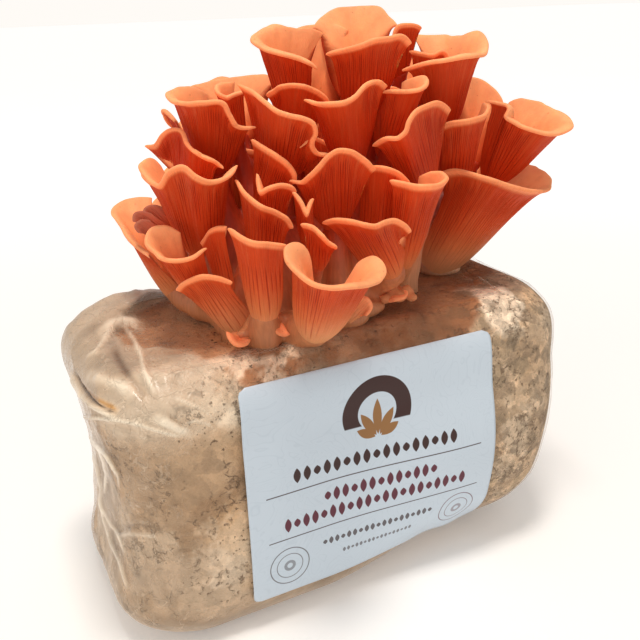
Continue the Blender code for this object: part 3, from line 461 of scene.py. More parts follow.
def make_mesh(name, points, face_groups, look=None, place=None):
    """A smooth-shaded mesh in metres. Face groups are arrays of quads, triangles or wider polygons; the
    first one decides which way is out. Look is a colour for each point, place its map position."""
    points = np.asarray(points, float).reshape(-1, 3)
    if signed_volume(points - points.mean(axis=0), face_groups[0]) < 0.0:
        face_groups = [group[:, ::-1] for group in face_groups]
    corners = np.concatenate([group.ravel() for group in face_groups])
    sizes = np.concatenate([np.full(len(group), group.shape[1]) for group in face_groups])
    mesh = bpy.data.meshes.new(name)
    mesh.vertices.add(len(points))
    mesh.vertices.foreach_set("co", (points * MM).astype(np.float32).ravel())
    mesh.loops.add(len(corners))
    mesh.loops.foreach_set("vertex_index", corners.astype(np.int32))
    mesh.polygons.add(len(sizes))
    mesh.polygons.foreach_set("loop_start", (np.cumsum(sizes) - sizes).astype(np.int32))
    mesh.update(calc_edges=True)
    mesh.shade_smooth()
    if look is not None:
        layer = mesh.attributes.new("look", "FLOAT_COLOR", "POINT")
        layer.data.foreach_set("color", np.asarray(look, np.float32).reshape(-1, 4).ravel())
    if place is not None:
        layer = mesh.uv_layers.new(name="place")
        layer.data.foreach_set("uv", np.asarray(place, np.float32).reshape(-1, 2)[corners].ravel())
    return mesh


def place_piece(name, mesh, material, slot, *nodes):
    """Puts a piece in the scene, in place of the part's plain solids that it stands for."""
    piece = bpy.data.objects.new(name, mesh)
    bpy.context.scene.collection.objects.link(piece)
    mesh.materials.append(material)
    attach(piece, "root")
    if nodes:
        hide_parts(*nodes)
    return piece


# Fruit bodies


def seen_rim(cap, count):
    """The rim of a fruit body in the photograph, as points in the part's frame."""
    pixels = np.asarray(cap.rim, float)
    run = distance_along(pixels)
    near = np.interp(run / run[-1], np.linspace(0.0, 1.0, len(cap.near)), cap.near)
    return smooth_curve([sight_point(pixel, depth) for pixel, depth in zip(pixels, near)], count)


def hidden_frame(cap):
    """Outward and sideways directions of a fruit body on the hidden side."""
    turn = np.radians(cap.facing)
    outward = np.sin(turn) * ACROSS - np.cos(turn) * NEAR
    sideways = np.cos(turn) * ACROSS + np.sin(turn) * NEAR
    return outward, sideways


def hidden_middle(cap):
    """The middle of a hidden fruit body's rim."""
    return CLUSTER_ORIGIN + cap.across * ACROSS + cap.near * NEAR + cap.up * UP


def hidden_rim(cap, count):
    """An arc bent round the foot, ruffled up and down by one sine and in and out by another."""
    outward, sideways = hidden_frame(cap)
    bend = np.radians(cap.bend)
    radius = cap.width / 2.0 / (np.sin(bend) if cap.bend < 90 else 1.0)
    run = np.linspace(-1.0, 1.0, 9)[:, None]
    lift = cap.ruffle * np.sin(run * np.pi * cap.waves + cap.phase)
    swing = 0.5 * cap.ruffle * np.cos(1.3 * run * np.pi * cap.waves + cap.phase)
    arc = radius * np.sin(run * bend) * sideways - radius * (1.0 - np.cos(run * bend)) * outward
    return smooth_curve(hidden_middle(cap) + arc + lift * UP + swing * outward, count)


# A fruit body's rim, foot and opening direction, whichever side it is on
Fan = namedtuple("Fan", "name rim_of foot foot_radius facing spread pitch waist")


def seen_fan(cap):
    """A fruit body in the photograph. It opens away from the cluster's core, toward the viewer and to the
    side where its rim bulges, or else straight away from the viewer."""
    rim, foot = seen_rim(cap, RIM_SAMPLES), sight_point(cap.foot, cap.foot_near)
    away = rim.mean(axis=0) - CORE
    bulge = rim[RIM_SAMPLES // 2] - (rim[0] + rim[-1]) / 2.0
    facing = -NEAR if cap.faces_away else unit(away) * 0.6 + NEAR * 0.6 + bulge / BULGE_REACH
    return Fan(cap.name, lambda count: seen_rim(cap, count), foot, cap.foot_radius, facing, SEEN_SPREAD,
               GILL_PITCH, cap.waist)


def hidden_fan(cap):
    """A fruit body on the hidden side, with its foot inward and down from the middle of its rim."""
    outward, _ = hidden_frame(cap)
    foot = hidden_middle(cap) - cap.inward * outward - cap.down * UP
    return Fan(cap.name, lambda count: hidden_rim(cap, count), foot, cap.foot_radius, outward,
               HIDDEN_SPREAD, HIDDEN_GILL_PITCH, 1.0)


def gill_relief(columns, up, seed):
    """How far the surface stands up between gill grooves, 1 where it is smooth. There are four columns to
    a gill: crest, slope, groove and slope. Every fourth groove runs down to the foot, those between start
    halfway, and the rest near the rim. All fade into the smooth margin, and here and there on the way."""
    place = np.arange(columns) / 4.0
    groove = np.floor(place + 0.01).astype(int)
    cut = (1.0 - np.abs(2.0 * (place - groove) - 1.0))**1.3
    start = np.where(groove % 4 == 0, MAIN_GROOVE_START,
                     np.where(groove % 2 == 0, MIDDLE_GROOVE_START, SHORT_GROOVE_START))
    stop = noise(np.stack([groove, 0 * groove, 0 * groove + 3 * seed], axis=1), 1.3, 6)
    stop = GROOVE_STOP - GROOVE_STOP_SPREAD * stop
    uneven = 0.5 + 0.8 * noise(np.stack([groove, 0 * groove, 0 * groove + seed], axis=1), 1.7)
    grown = rising(up[:, None], start, GROOVE_FADE_IN) * falling(up[:, None], stop, GROOVE_FADE_OUT)
    broad = np.stack(np.broadcast_arrays(groove * 1.0, 26.0 * up[:, None], seed * 7.0), axis=-1)
    fine = np.stack(np.broadcast_arrays(groove * 3.1, 30.0 * up[:, None], seed * 5.0), axis=-1)
    patchy = rising(noise(broad, 11.0, 3), 0.15, 0.35) * (0.55 + 0.7 * noise(fine, 5.0, 9))
    return 1.0 - np.clip(cut * uneven * grown * patchy, 0.0, 1.0)


def fan_ring(fan, rim, axis):
    """Each column's run along the rim, from -1 to 1, and its direction round the fan's axis."""
    front = unit(fan.facing - (fan.facing @ axis) * axis)
    side = np.cross(axis, front)
    third = max(1, len(rim) // 3)
    if (rim[-third:].mean(axis=0) - rim[:third].mean(axis=0)) @ side < 0.0:
        side = -side
    run = np.linspace(-1.0, 1.0, len(rim))[:, None]
    return run, front * np.cos(run * FAN_WRAP) + side * np.sin(run * FAN_WRAP)


def fan_sheet(fan, rim, axis, ring, up, length, seed):
    """The surface that both sides of a fruit body lie along. The foot is part of a ring round the fan's
    axis, sunk in the stem. Each column is a cubic Bezier curve from that ring to the rim, leaving along
    the axis and flaring outward at the top, where it arches over the rim as a lip. Noise along the rim
    ruffles it, more and more toward the rim."""
    start = fan.foot - FOOT_SINK * axis + FOOT_DRAW * fan.foot_radius * ring
    rise = ((rim - fan.foot) @ axis)[:, None] * axis
    lateral = (rim - fan.foot) - rise
    leave = fan.foot + fan.foot_radius * ring + LEAVE_RISE * rise + fan.waist * fan.spread * lateral
    arrive = fan.foot + ARRIVE_RISE * rise + fan.waist * ARRIVE_SIDE * lateral
    sheet = bezier(up[:, None, None], start, leave, arrive, rim)
    along = distance_along(rim)
    steady = np.stack([along, 0.0 * along, 0.0 * along + 37.0 * seed], axis=1)
    lip = LIP_RISE * (0.5 + noise(steady, LIP_WAVE)) * min(1.0, length / FULL_LIP_LENGTH)
    lip = lip * (0.2 + 0.8 * smooth_step(ring @ NEAR + 0.7))
    arch = np.sin(np.pi * np.clip((up - LIP_START) / (1.0 - LIP_START), 0.0, 1.0))
    sheet += (arch[:, None] * lip)[..., None] * axis
    ripple = RUFFLE * (2.0 * noise(steady, RUFFLE_WAVE, 1) - 1.0)
    ripple = ripple + 0.5 * RUFFLE * (2.0 * noise(steady, RUFFLE_WAVE / 2.0, 2) - 1.0)
    grown = rising(up, RUFFLE_START, 1.0 - RUFFLE_START)[:, None]
    sheet += (grown * ripple)[..., None] * (0.7 * axis + 0.7 * ring)
    return sheet


def fan_walls(fan, sheet, axis, ring, up, edge, relief):
    """The gilled side, the rolled rim and the upper side. The upper side lies inward along the normal, and
    blends toward the axis below the cup's floor, where the flesh is solid. The rim is half an ellipse
    between the two sides."""
    normal = unit(np.cross(np.gradient(sheet, axis=1), np.gradient(sheet, axis=0)))
    normal *= np.sign((normal[len(up) // 2] * ring).sum())
    gilled = sheet - (GILL_DEPTH * (1.0 - relief) * edge)[..., None] * normal
    depth = (CAP_THICK * (1.15 - 0.35 * up)[:, None] * edge)[..., None]
    to_axis = CUP_DRAW * (fan.foot + ((sheet - fan.foot) @ axis)[..., None] * axis - sheet)
    blend = rising(up, CUP_FLOOR, CUP_WALL)[:, None, None]
    upper = sheet + (1.0 - blend) * to_axis - blend * depth * normal
    turn = np.linspace(0.0, np.pi, RIM_STEPS + 2)[1:-1, None, None]
    half = (gilled[-1] - upper[-1]) / 2.0
    ahead = unit(gilled[-1] - gilled[-2]) * np.linalg.norm(half, axis=1, keepdims=True)
    rolled = (gilled[-1] + upper[-1]) / 2.0 + np.cos(turn) * half + np.sin(turn) * ahead
    return gilled, rolled, upper


def fan_look(rows, columns, up, relief):
    """A colour for each point that says how far it stands out between the grooves, how far up the fan it
    is, and how far it has turned to the upper side."""
    count = len(up)
    look = np.ones((rows, columns, 4))
    look[:count, :, 0] = relief
    look[..., 1] = np.concatenate([up, np.ones(RIM_STEPS), up[::-1]])[:, None]
    look[:count, :, 2] = 0.0
    look[count:count + RIM_STEPS, :, 2] = np.linspace(0.0, 1.0, RIM_STEPS)[:, None]
    return look


def fan_ends(rows, columns, count):
    """Faces that close the first and last column: a strip of quads between the two sides, and a polygon
    over the rolled rim."""
    index = np.arange(rows * columns).reshape(rows, columns)
    ends = []
    for column, flip in ((0, False), (columns - 1, True)):
        outer, inner = index[:count, column], index[::-1][:count, column]
        strip = np.stack([outer[:-1], outer[1:], inner[1:], inner[:-1]], axis=1)
        cap = index[count - 1:count + RIM_STEPS + 1, column][None]
        ends += [strip[:, ::-1], cap[:, ::-1]] if flip else [strip, cap]
    return ends


def fan_solid(fan, seed):
    """One fruit body: gilled side, rolled rim and smooth upper side, as one closed wall. Gives its points,
    faces, look and map places."""
    coarse = fan.rim_of(RIM_SAMPLES)
    length = distance_along(coarse)[-1]
    columns = 4 * max(14, int(length / fan.pitch)) + 1
    rim = fan.rim_of(columns)
    axis = unit(coarse.mean(axis=0) - fan.foot)
    run, ring = fan_ring(fan, rim, axis)
    up = np.concatenate([np.linspace(0.0, LIP_START, FAN_ROWS, endpoint=False),
                         np.linspace(LIP_START, 1.0, LIP_ROWS)])
    sheet = fan_sheet(fan, rim, axis, ring, up, length, seed)
    relief = gill_relief(columns, up, seed)
    edge = SIDE_THINNESS + (1.0 - SIDE_THINNESS) * np.sqrt(1.0 - np.abs(run[:, 0])**6)
    gilled, rolled, upper = fan_walls(fan, sheet, axis, ring, up, edge, relief)
    points = np.concatenate([gilled, rolled, upper[::-1]])
    rows = len(points)
    reach = np.linalg.norm(rim - fan.foot, axis=1).mean()
    lengths = np.concatenate([up * reach, np.full(RIM_STEPS, reach), up[::-1] * reach])
    place = np.stack(np.broadcast_arrays(distance_along(rim)[None, :] * PLACE_SCALE,
                                         lengths[:, None] * PLACE_SCALE), axis=-1)
    faces = [grid_faces(rows, columns, wrap_rows=True)] + fan_ends(rows, columns, len(up))
    return points, faces, fan_look(rows, columns, up, relief), place


def make_fruit(fan, seed, material, slot):
    """A fruit body in place of its plain solid."""
    points, faces, look, place = fan_solid(fan, seed)
    name = fan.name.replace("cap_", "fruit_").replace("pin_", "young_fruit_")
    return place_piece(name, make_mesh(name, points, faces, look, place), material, slot, fan.name)


def make_fold(fan, seed, material, slot):
    """A fold that has no solid of its own."""
    points, faces, look, place = fan_solid(fan, seed)
    return place_piece(fan.name, make_mesh(fan.name, points, faces, look, place), material, slot)


# Stems


def stem_path(fan, cluster):
    """A cubic Bezier curve that rises from the root and ends in the fruit's foot, along its axis."""
    run = cluster.end - cluster.start
    along = unit(run)
    across = np.array([-along[1], along[0]])
    share = np.clip((fan.foot[:2] - cluster.start) @ run / (run @ run), 0.0, 1.0)
    offset = np.clip((fan.foot[:2] - cluster.start) @ across, -cluster.spread, cluster.spread)
    root = np.append(cluster.start + share * run + offset * across, STEM_FLOOR)
    axis = unit(fan.rim_of(RIM_SAMPLES).mean(axis=0) - fan.foot)
    reach = np.linalg.norm(fan.foot - root)
    leave = root + cluster.rise * reach * UP
    arrive = fan.foot - cluster.pull * reach * axis
    end = fan.foot + STEM_OVERLAP * axis
    return bezier(np.linspace(0.0, 1.0, STEM_RINGS)[:, None], root, leave, arrive, end)


def pole_fans(rows, columns):
    """Triangles that close a wrapped grid: its first row on the point after the grid, and its last row on
    the next point."""
    step = np.arange(columns)
    after = (step + 1) % columns
    bottom = np.stack([after, step, np.full(columns, rows * columns)], axis=1)
    top = np.stack([step, after, np.full(columns, rows * columns + 1)], axis=1)
    top[:, :2] += (rows - 1) * columns
    return np.concatenate([bottom, top])


def tube(path, radii, sides, seed):
    """A closed tube along a path: rings square to it, a little out of round, each end drawn to a point."""
    heading = unit(np.gradient(path, axis=0))
    first = unit(np.cross(heading, ACROSS))
    second = np.cross(heading, first)
    turns = np.linspace(0.0, 2.0 * np.pi, sides, endpoint=False)
    circle = first[:, None] * np.cos(turns)[:, None] + second[:, None] * np.sin(turns)[:, None]
    bumps = 0.88 + 0.26 * noise(path[:, None] + 6.0 * circle, 6.0, seed)
    rings = path[:, None] + (radii[:, None] * bumps)[..., None] * circle
    points = np.concatenate([rings.reshape(-1, 3), path[:1], path[-1:]])
    return points, grid_faces(len(path), sides, wrap_columns=True), pole_fans(len(path), sides)


def ball(middle, radii, axes, steps, seed, uneven):
    """An uneven ellipsoid on three axes: latitude and longitude rings with a point at each pole."""
    rise = np.linspace(-np.pi / 2, np.pi / 2, steps[0] + 2)[1:-1, None]
    turns = np.linspace(0.0, 2.0 * np.pi, steps[1], endpoint=False)[None]
    shape = np.stack(np.broadcast_arrays(np.cos(rise) * np.cos(turns), np.cos(rise) * np.sin(turns),
                                         np.sin(rise)), axis=-1)
    shape = np.concatenate([shape.reshape(-1, 3), [-UP, UP]])
    shape = shape * (1.0 + uneven * (2.0 * noise(shape, 0.7, seed) - 1.0))[:, None]
    points = (shape * radii) @ axes + middle
    return points, grid_faces(*steps, wrap_columns=True), pole_fans(*steps)


def join_parts(parts):
    """One point array and two face arrays from several closed shapes."""
    points, quads, triangles, start = [], [], [], 0
    for part_points, part_quads, part_triangles in parts:
        points.append(part_points)
        quads.append(part_quads + start)
        triangles.append(part_triangles + start)
        start += len(part_points)
    return np.concatenate(points), [np.concatenate(quads), np.concatenate(triangles)]


def grown_together(name, parts, voxel, smoothing):
    """Closed shapes fused as flesh fuses: one skin round them all, then smoothed."""
    points, faces = join_parts(parts)
    helper = bpy.data.objects.new(name + "_parts", make_mesh(name + "_parts", points, faces))
    bpy.context.scene.collection.objects.link(helper)
    skin = helper.modifiers.new("skin", "REMESH")
    skin.mode = "VOXEL"
    skin.voxel_size = voxel * MM
    soften = helper.modifiers.new("soften", "SMOOTH")
    soften.factor = 0.5
    soften.iterations = smoothing
    graph = bpy.context.evaluated_depsgraph_get()
    mesh = bpy.data.meshes.new_from_object(helper.evaluated_get(graph))
    mesh.name = name
    bpy.data.objects.remove(helper)
    mesh.shade_smooth()
    return mesh


def stem_parts(cluster, fans):
    """A cluster's stems, one to the foot of each fan and thickest at the root, and the lumps at its
    foot."""
    parts = []
    for number, fan in enumerate(fans):
        path = stem_path(fan, cluster)
        share = np.linspace(0.0, 1.0, STEM_RINGS)
        radii = fan.foot_radius * (STEM_FOOT_SPREAD + (STEM_TOP_SPREAD - STEM_FOOT_SPREAD) * share)
        radii = radii * (1.0 + 0.1 * np.sin(np.pi * share))
        parts.append(tube(path, radii, STEM_SIDES, number))
    along = unit(cluster.end - cluster.start)
    axes = np.array([[along[0], along[1], 0.0], [-along[1], along[0], 0.0], UP])
    for number, lump in enumerate(cluster.lumps):
        parts.append(ball(np.array(lump.middle), np.array(lump.radii), axes, LUMP_STEPS, number,
                          LUMP_UNEVENNESS))
    return parts


# Extra knobs of flesh at the cluster's foot: pixel, how near, and radii across, near and up. The last
# stem knob belongs to the right stems. The nubs are a piece of their own.
Knob = namedtuple("Knob", "pixel near radii")
STEM_KNOBS = (
    Knob((394, 272), 12, (5.0, 6.0, 5.5)),
    Knob((300, 326), 40, (6.0, 6.0, 6.0)),
    Knob((262, 326), 38, (9.0, 8.0, 6.0)),
    Knob((285, 330), 34, (10.0, 9.0, 5.0)),
    Knob((340, 318), 24, (12.0, 9.0, 5.0)),
    Knob((366, 306), 14, (8.0, 8.0, 4.0)),
    Knob((441, 266), -42, (10.0, 10.0, 6.0)),
)
NUBS = (
    Knob((392, 291), 12, (3.0, 3.0, 3.2)),
    Knob((399, 296), 14, (3.4, 3.0, 2.6)),
    Knob((407, 292), 12, (2.8, 2.6, 3.0)),
    Knob((412, 297), 14, (2.2, 2.4, 2.0)),
    Knob((386, 299), 16, (2.6, 2.6, 2.0)),
)


def knob_parts(knobs):
    """Uneven balls of flesh, each on its pixel's sight line."""
    axes = np.array([ACROSS, NEAR, UP])
    return [ball(sight_point(knob.pixel, knob.near), np.array(knob.radii), axes, KNOB_STEPS, number,
                 KNOB_UNEVENNESS)
            for number, knob in enumerate(knobs)]


# Bag, block and label


def press(points):
    """Leans the front out over the label's right half, and tucks it in along the lower right edge."""
    x, y, z = points[..., 0], points[..., 1], points[..., 2]
    share = falling(y, -10.0, 40.0) * rising(x, -20.0, 80.0)
    lean = BELLY * np.exp(-((z - BELLY_HEIGHT) / BELLY_REACH)**2) - TUCK * falling(z, 34.0, 34.0)
    return np.stack([x, y - share * lean, z], axis=-1)


def pocket_lift(points):
    """Lifts the empty corner of film: a smooth mound that counts near the top alone."""
    away = (points[..., :2] - POCKET_MIDDLE) / POCKET_REACH
    share = rising(points[..., 2], 100.0, 22.0)
    return points + (POCKET_RISE * np.exp(-(away**2).sum(axis=-1)) * share)[..., None] * UP


def outline(level, inset=0.0):
    """Points round a level, counterclockwise from the front left: straight sides and quarter circles."""
    _, left, right, front, back, corner = level
    left, right, front, back = left + inset, right - inset, front + inset, back - inset
    inner = np.array([(left + corner, front + corner), (right - corner, front + corner),
                      (right - corner, back - corner), (left + corner, back - corner)])
    loop = []
    for side in range(4):
        here, there = inner[side], inner[(side + 1) % 4]
        away = np.radians(-90.0 + 90.0 * side)
        out = corner * np.array([np.cos(away), np.sin(away)])
        steps = np.linspace(0.0, 1.0, SIDE_POINTS[2 * side], endpoint=False)[:, None]
        steps = steps**FRONT_CROWDING if side == 0 else steps
        loop.append(here + out + steps * (there - here))
        turns = away + np.linspace(0.0, np.pi / 2, SIDE_POINTS[2 * side + 1], endpoint=False)
        loop.append(there + corner * np.stack([np.cos(turns), np.sin(turns)], axis=1))
    return np.concatenate(loop)


def slot_loop(directions):
    """The slot's edge along each direction from its middle: a straight side or the half circle past it."""
    along = unit(SLOT_END - SLOT_START)
    half = np.linalg.norm(SLOT_END - SLOT_START) / 2.0
    forward = np.abs(directions @ along)
    sideways = np.abs(directions @ np.array([-along[1], along[0]]))
    straight = SLOT_HALF_WIDTH / np.maximum(sideways, 1e-6)
    under = np.maximum(SLOT_HALF_WIDTH**2 - (half * sideways)**2, 0.0)
    reach = np.where(straight * forward <= half, straight, half * forward + np.sqrt(under))
    return SLOT_MIDDLE + reach[:, None] * directions


def bag_shell(inset, rows, open_slot):
    """The bag's surface as rows of rings, from the resting face up the sides and in over the top, smoothed
    along each column; it ends at the slot's edge, or at the top's middle."""
    rings = [np.column_stack([outline(level, inset), np.full(sum(SIDE_POINTS), level[0])])
             for level in BAG_LEVELS]
    edge = rings[-1][:, :2]
    goal = np.broadcast_to(TOP_MIDDLE, edge.shape)
    if open_slot:
        goal = slot_loop(unit(edge - SLOT_MIDDLE))
    for share, height in TOP_HEIGHTS:
        share = share if open_slot else max(share, SMALLEST_RING)
        rings.append(np.column_stack([goal + share * (edge - goal), np.full(len(edge), height)]))
    flat = smooth_curve(np.array([ring.ravel() for ring in rings]), rows)
    points = flat.reshape(rows, -1, 3)
    points[..., 2] = np.maximum(inset + points[..., 2] * (BAG_HEIGHT - 2.0 * inset) / BAG_HEIGHT, inset)
    return points


def surface_normals(points):
    """Outward normals of a ring surface from its differences along and round."""
    along = np.gradient(points, axis=0)
    around = np.roll(points, -1, axis=1) - np.roll(points, 1, axis=1)
    return unit(np.cross(around, along))


def broad_lumps(points):
    """The block's broad lumps, which the film follows: two octaves of noise."""
    return BROAD_SHARE * rough(points, BROAD_LUMP, 2, 1)


def block_lumps(points):
    """How far the pressed block falls short of its skin, in shares of the lump depth: its broad lumps and
    three octaves of smaller noise."""
    return broad_lumps(points) + SMALL_SHARE * rough(points, SMALL_LUMP, 3, 2)


def resting(points):
    """How free of the resting face a point is, from 0 to 1."""
    return rising(points[..., 2], 1.5, 8.0)


def label_cover(points):
    """1 behind the label, falling to 0 a little outside it."""
    x, y, z = points[..., 0], points[..., 1], points[..., 2]
    inside = rising(x, LABEL_LEFT - LABEL_MARGIN, LABEL_SOFT)
    inside = inside * falling(x, LABEL_RIGHT + LABEL_MARGIN, LABEL_SOFT)
    inside = inside * rising(z, LABEL_BOTTOM - LABEL_MARGIN, LABEL_SOFT)
    inside = inside * falling(z, LABEL_TOP + LABEL_MARGIN, LABEL_SOFT)
    return inside * (y < -20.0)


# Creases in the film. Path: pixels along them. Width and height in pixels and millimetres; haze says how
# much they whiten the film, shade how much painted shade darkens it in a fold, a shade below 0 how much
# painted highlight lightens it along a ridge, and gold how much they yellow it.
Crease = namedtuple("Crease", "path width height haze shade gold", defaults=(0.0,))
CREASE_TAPER = 8.0
POCKET_OUTLINE = ((78, 320), (92, 305), (110, 295), (136, 288))
CREASES = (
    Crease(((75, 372), (79, 382), (84, 391), (91, 399), (101, 407), (115, 414)), 1.3, -1.6, 1.0, 0.9),
    Crease(((82, 384), (88, 392), (95, 398), (104, 403), (114, 409)), 1.8, -0.7, 1.0, 0.2, 1.0),
    Crease(((103, 403), (110, 406), (116, 410)), 2.8, -0.5, 0.9, 0.25, 1.0),
    Crease(((72, 374), (76, 386), (82, 396), (90, 404), (101, 411), (116, 418)), 1.6, 1.3, 0.8, -0.7),
    Crease(((104, 333), (112, 325), (122, 321), (132, 322), (140, 328)), 4.6, 1.4, 0.5, -0.75),
    Crease(((125, 327), (134, 340), (141, 354), (145, 372), (154, 392)), 2.4, 0.8, 0.4, -0.7),
    Crease(((113, 346), (119, 358), (127, 372), (138, 388), (147, 400)), 4.6, -0.7, 0.35, 0.7),
    Crease(((88, 356), (96, 352), (104, 341), (112, 330)), 1.8, 0.7, 0.4, -0.6),
    Crease(((92, 376), (104, 380), (118, 384), (130, 392)), 5.0, 0.9, 0.4, -0.6),
    Crease(((186, 424), (196, 421), (208, 424), (216, 430)), 1.5, 0.4, 0.45, -0.8),
    Crease(((158, 420), (168, 424), (177, 429), (188, 434)), 4.2, 0.4, 0.6, -1.0),
    Crease(((176, 398), (190, 404), (204, 410), (216, 420)), 1.4, 0.5, 0.35, -0.5),
    Crease(((81, 417), (98, 418), (117, 420), (137, 424), (155, 430), (180, 437)), 1.3, 1.1, 0.8, -0.8),
    Crease(((100, 424), (120, 427), (140, 433), (160, 438)), 3.2, -0.9, 0.35, 0.4),
    Crease(((85, 432), (92, 440), (100, 447), (107, 455), (113, 465), (116, 476)), 1.2, 0.7, 0.6, -0.8),
    Crease(((99, 448), (104, 462), (106, 474), (105, 492)), 1.2, 0.6, 0.6, -0.7),
    Crease(((88, 440), (98, 448), (108, 456), (118, 474), (120, 488)), 1.2, 0.6, 0.5, -0.7),
    Crease(((92, 452), (97, 470), (101, 488), (100, 506)), 1.6, 0.7, 0.4, -0.5),
    Crease(((100, 498), (104, 520), (112, 545), (121, 566), (127, 588)), 1.3, 0.7, 0.5, -0.6),
    Crease(((100, 504), (111, 524), (119, 536), (124, 552)), 1.3, 0.6, 0.5, -0.6),
    Crease(((117, 530), (131, 526), (148, 528), (165, 530)), 2.8, -1.2, 0.1, 0.5),
    Crease(((118, 536), (131, 533), (148, 535), (160, 537)), 2.4, 0.6, 0.3, -0.5),
    Crease(((174, 552), (188, 551), (200, 554), (212, 562), (220, 569), (232, 566)), 1.4, -1.2, 0.1, 0.8),
    Crease(((186, 532), (200, 529), (206, 520), (209, 508), (216, 505)), 1.6, -1.0, 0.1, 0.65),
    Crease(((168, 413), (172, 419), (180, 423), (183, 430)), 1.2, -0.9, 0.0, 0.9),
    Crease(((472, 312), (486, 306), (497, 306), (505, 312)), 1.8, 1.2, 0.4, -0.3),
    Crease(((470, 273), (487, 284), (505, 298), (515, 312)), 1.6, 0.8, 0.25, -0.2),
    Crease(((484, 341), (500, 329), (512, 322), (527, 316)), 1.8, 1.0, 0.3, -0.25),
    Crease(((462, 270), (474, 276), (480, 288)), 3.0, -1.4, 0.0, 0.5),
)


def crease_share(pixels, path, width):
    """A bell curve of the distance in the picture from a path of straight runs, weaker near its ends."""
    path = np.asarray(path, float)
    nearest = np.full(pixels.shape[:-1], 1e9)
    for start, end in zip(path[:-1], path[1:]):
        run = end - start
        share = np.clip(((pixels - start) @ run) / (run @ run), 0.0, 1.0)
        nearest = np.minimum(nearest, np.linalg.norm(pixels - start - share[..., None] * run, axis=-1))
    from_end = np.minimum(np.linalg.norm(pixels - path[0], axis=-1),
                          np.linalg.norm(pixels - path[-1], axis=-1))
    return np.exp(-(nearest / width)**2) * (0.35 + 0.65 * rising(from_end, 0.0, CREASE_TAPER))


def sharp_ridges(values, power):
    """Ridges where noise passes its middle value: a power of 1 less twice the distance from it."""
    return (1.0 - np.abs(2.0 * values - 1.0))**power


def film_surface():
    """The clear film. It follows the block's broad lumps, lies flat behind the label, stands off as an
    empty pocket at the back left, and wrinkles where it is loose, most of all at the left end. Gives its
    points, and for each one how hazy, how far left and how yellow it is, and its painted shade and
    highlight."""
    points = pocket_lift(press(bag_shell(0.0, FILM_ROWS, True)))
    normal = surface_normals(points)
    pixels = seen_at(points)
    x, y, z = points[..., 0], points[..., 1], points[..., 2]
    left = falling(x, LEFT_START, LEFT_RUN)
    wrinkle = sharp_ridges(rough(points, (30.0, 30.0, 60.0), 3, 5), 4)
    fine = sharp_ridges(rough(points, 11.0, 2, 8), 5)
    height = -0.8 * LUMP_DEPTH * broad_lumps(points) * tight_share(points)
    height = height + (0.3 + 0.3 * left) * wrinkle + 0.2 * fine
    slack = crease_share(pixels, POCKET_OUTLINE, POCKET_SLACK_WIDTH) * rising(z, 96.0, 8.0)
    height = height - POCKET_SLACK * slack
    # Hazy where it is loose at the top left, behind the cluster, at the left end and low down
    loose = rising(z, 100.0, 20.0) * falling(x - 0.6 * np.clip(y, 0.0, 50.0), -40.0, 30.0)
    behind = rising(y, 16.0, 12.0) * rising(z, TOP_FACE, 8.0) * falling(x, -22.0, 16.0)
    low = falling(z, 26.0, 22.0)
    haze = 0.02 + 0.34 * loose + 0.55 * behind + 0.06 * left + 0.45 * low
    haze = haze + 0.25 * wrinkle * (0.2 + left) + 0.10 * fine
    haze = haze + 0.2 * (rough(points, 20.0, 3, 12) - 0.5)
    # Clearer where the cluster's shadow is painted on the block beneath
    haze = haze * (1.0 - 0.65 * cluster_shadow_paint(points))
    # Painted light on the film along the top's front edge at the left
    lit = rising(z, 99.0, 7.0) * falling(y, -32.0, 8.0) * falling(x, 20.0, 30.0)
    shade, gold = 0.2 * loose - 0.55 * lit, np.zeros(haze.shape)
    facing = falling(np.einsum("ijk,ijk->ij", normal, unit(points - EYE)), 0.05, 0.15)
    for crease in CREASES:
        share = crease_share(pixels, crease.path, crease.width) * facing
        height = height + crease.height * share
        haze = haze + crease.haze * share
        shade = shade + crease.shade * share
        gold = gold + crease.gold * share
    edge = rising(np.arange(FILM_ROWS), FILM_ROWS - FILM_EDGE_ROWS - 1.0, FILM_EDGE_ROWS)[:, None]
    curl = 0.2 + (0.2 + 1.1 * noise(points, 9.0, 4)) * tight_share(points)
    height = height * (1.0 - edge) + curl * edge
    free = resting(points) * (1.0 - label_cover(points))
    points = points + (free * height)[..., None] * normal
    points[..., 2] = np.maximum(points[..., 2], 0.0)
    look = np.stack([np.clip(haze, 0.0, 1.0), 0.5 + 0.5 * np.clip(shade, -1.0, 1.0), left,
                     np.clip(gold, 0.0, 1.0)], axis=-1)
    return points, look


def make_film(material):
    """The film's piece, closed with one polygon on the resting face."""
    points, look = film_surface()
    rows, columns = points.shape[:2]
    floor = np.arange(columns)[None, ::-1]
    faces = [grid_faces(rows, columns, wrap_columns=True), floor]
    return place_piece("film_bag", make_mesh("film_bag", points, faces, look), material, "film", "bag")


def from_line(points, start, end):
    """The distance seen from above to a straight line between two places."""
    run = end - start
    flat = points[..., :2] - start
    share = np.clip(flat @ run / (run @ run), 0.0, 1.0)
    return np.linalg.norm(flat - share[..., None] * run, axis=-1)


def cluster_shadow_paint(points):
    """The cluster's shadow painted on the block's top: 1 near the slot, where the cluster grows out,
    with a ragged border. It reaches furthest over the front."""
    away = np.minimum(from_line(points, SHADOW_PAINT_START, SHADOW_PAINT_END),
                      from_line(points, SLOT_START, SLOT_END) + 4.0)
    border = SHADOW_PAINT_REACH + 20.0 * (rough(points, 17.0, 4, 31) - 0.5)
    return falling(away, border, 5.0) * rising(points[..., 2], TOP_FACE, 8.0)


def tight_share(points):
    """1 over most of the bag, less toward its right end, where the film clings to a smoother block."""
    return 1.0 - 0.8 * rising(points[..., 0], 50.0, 40.0)


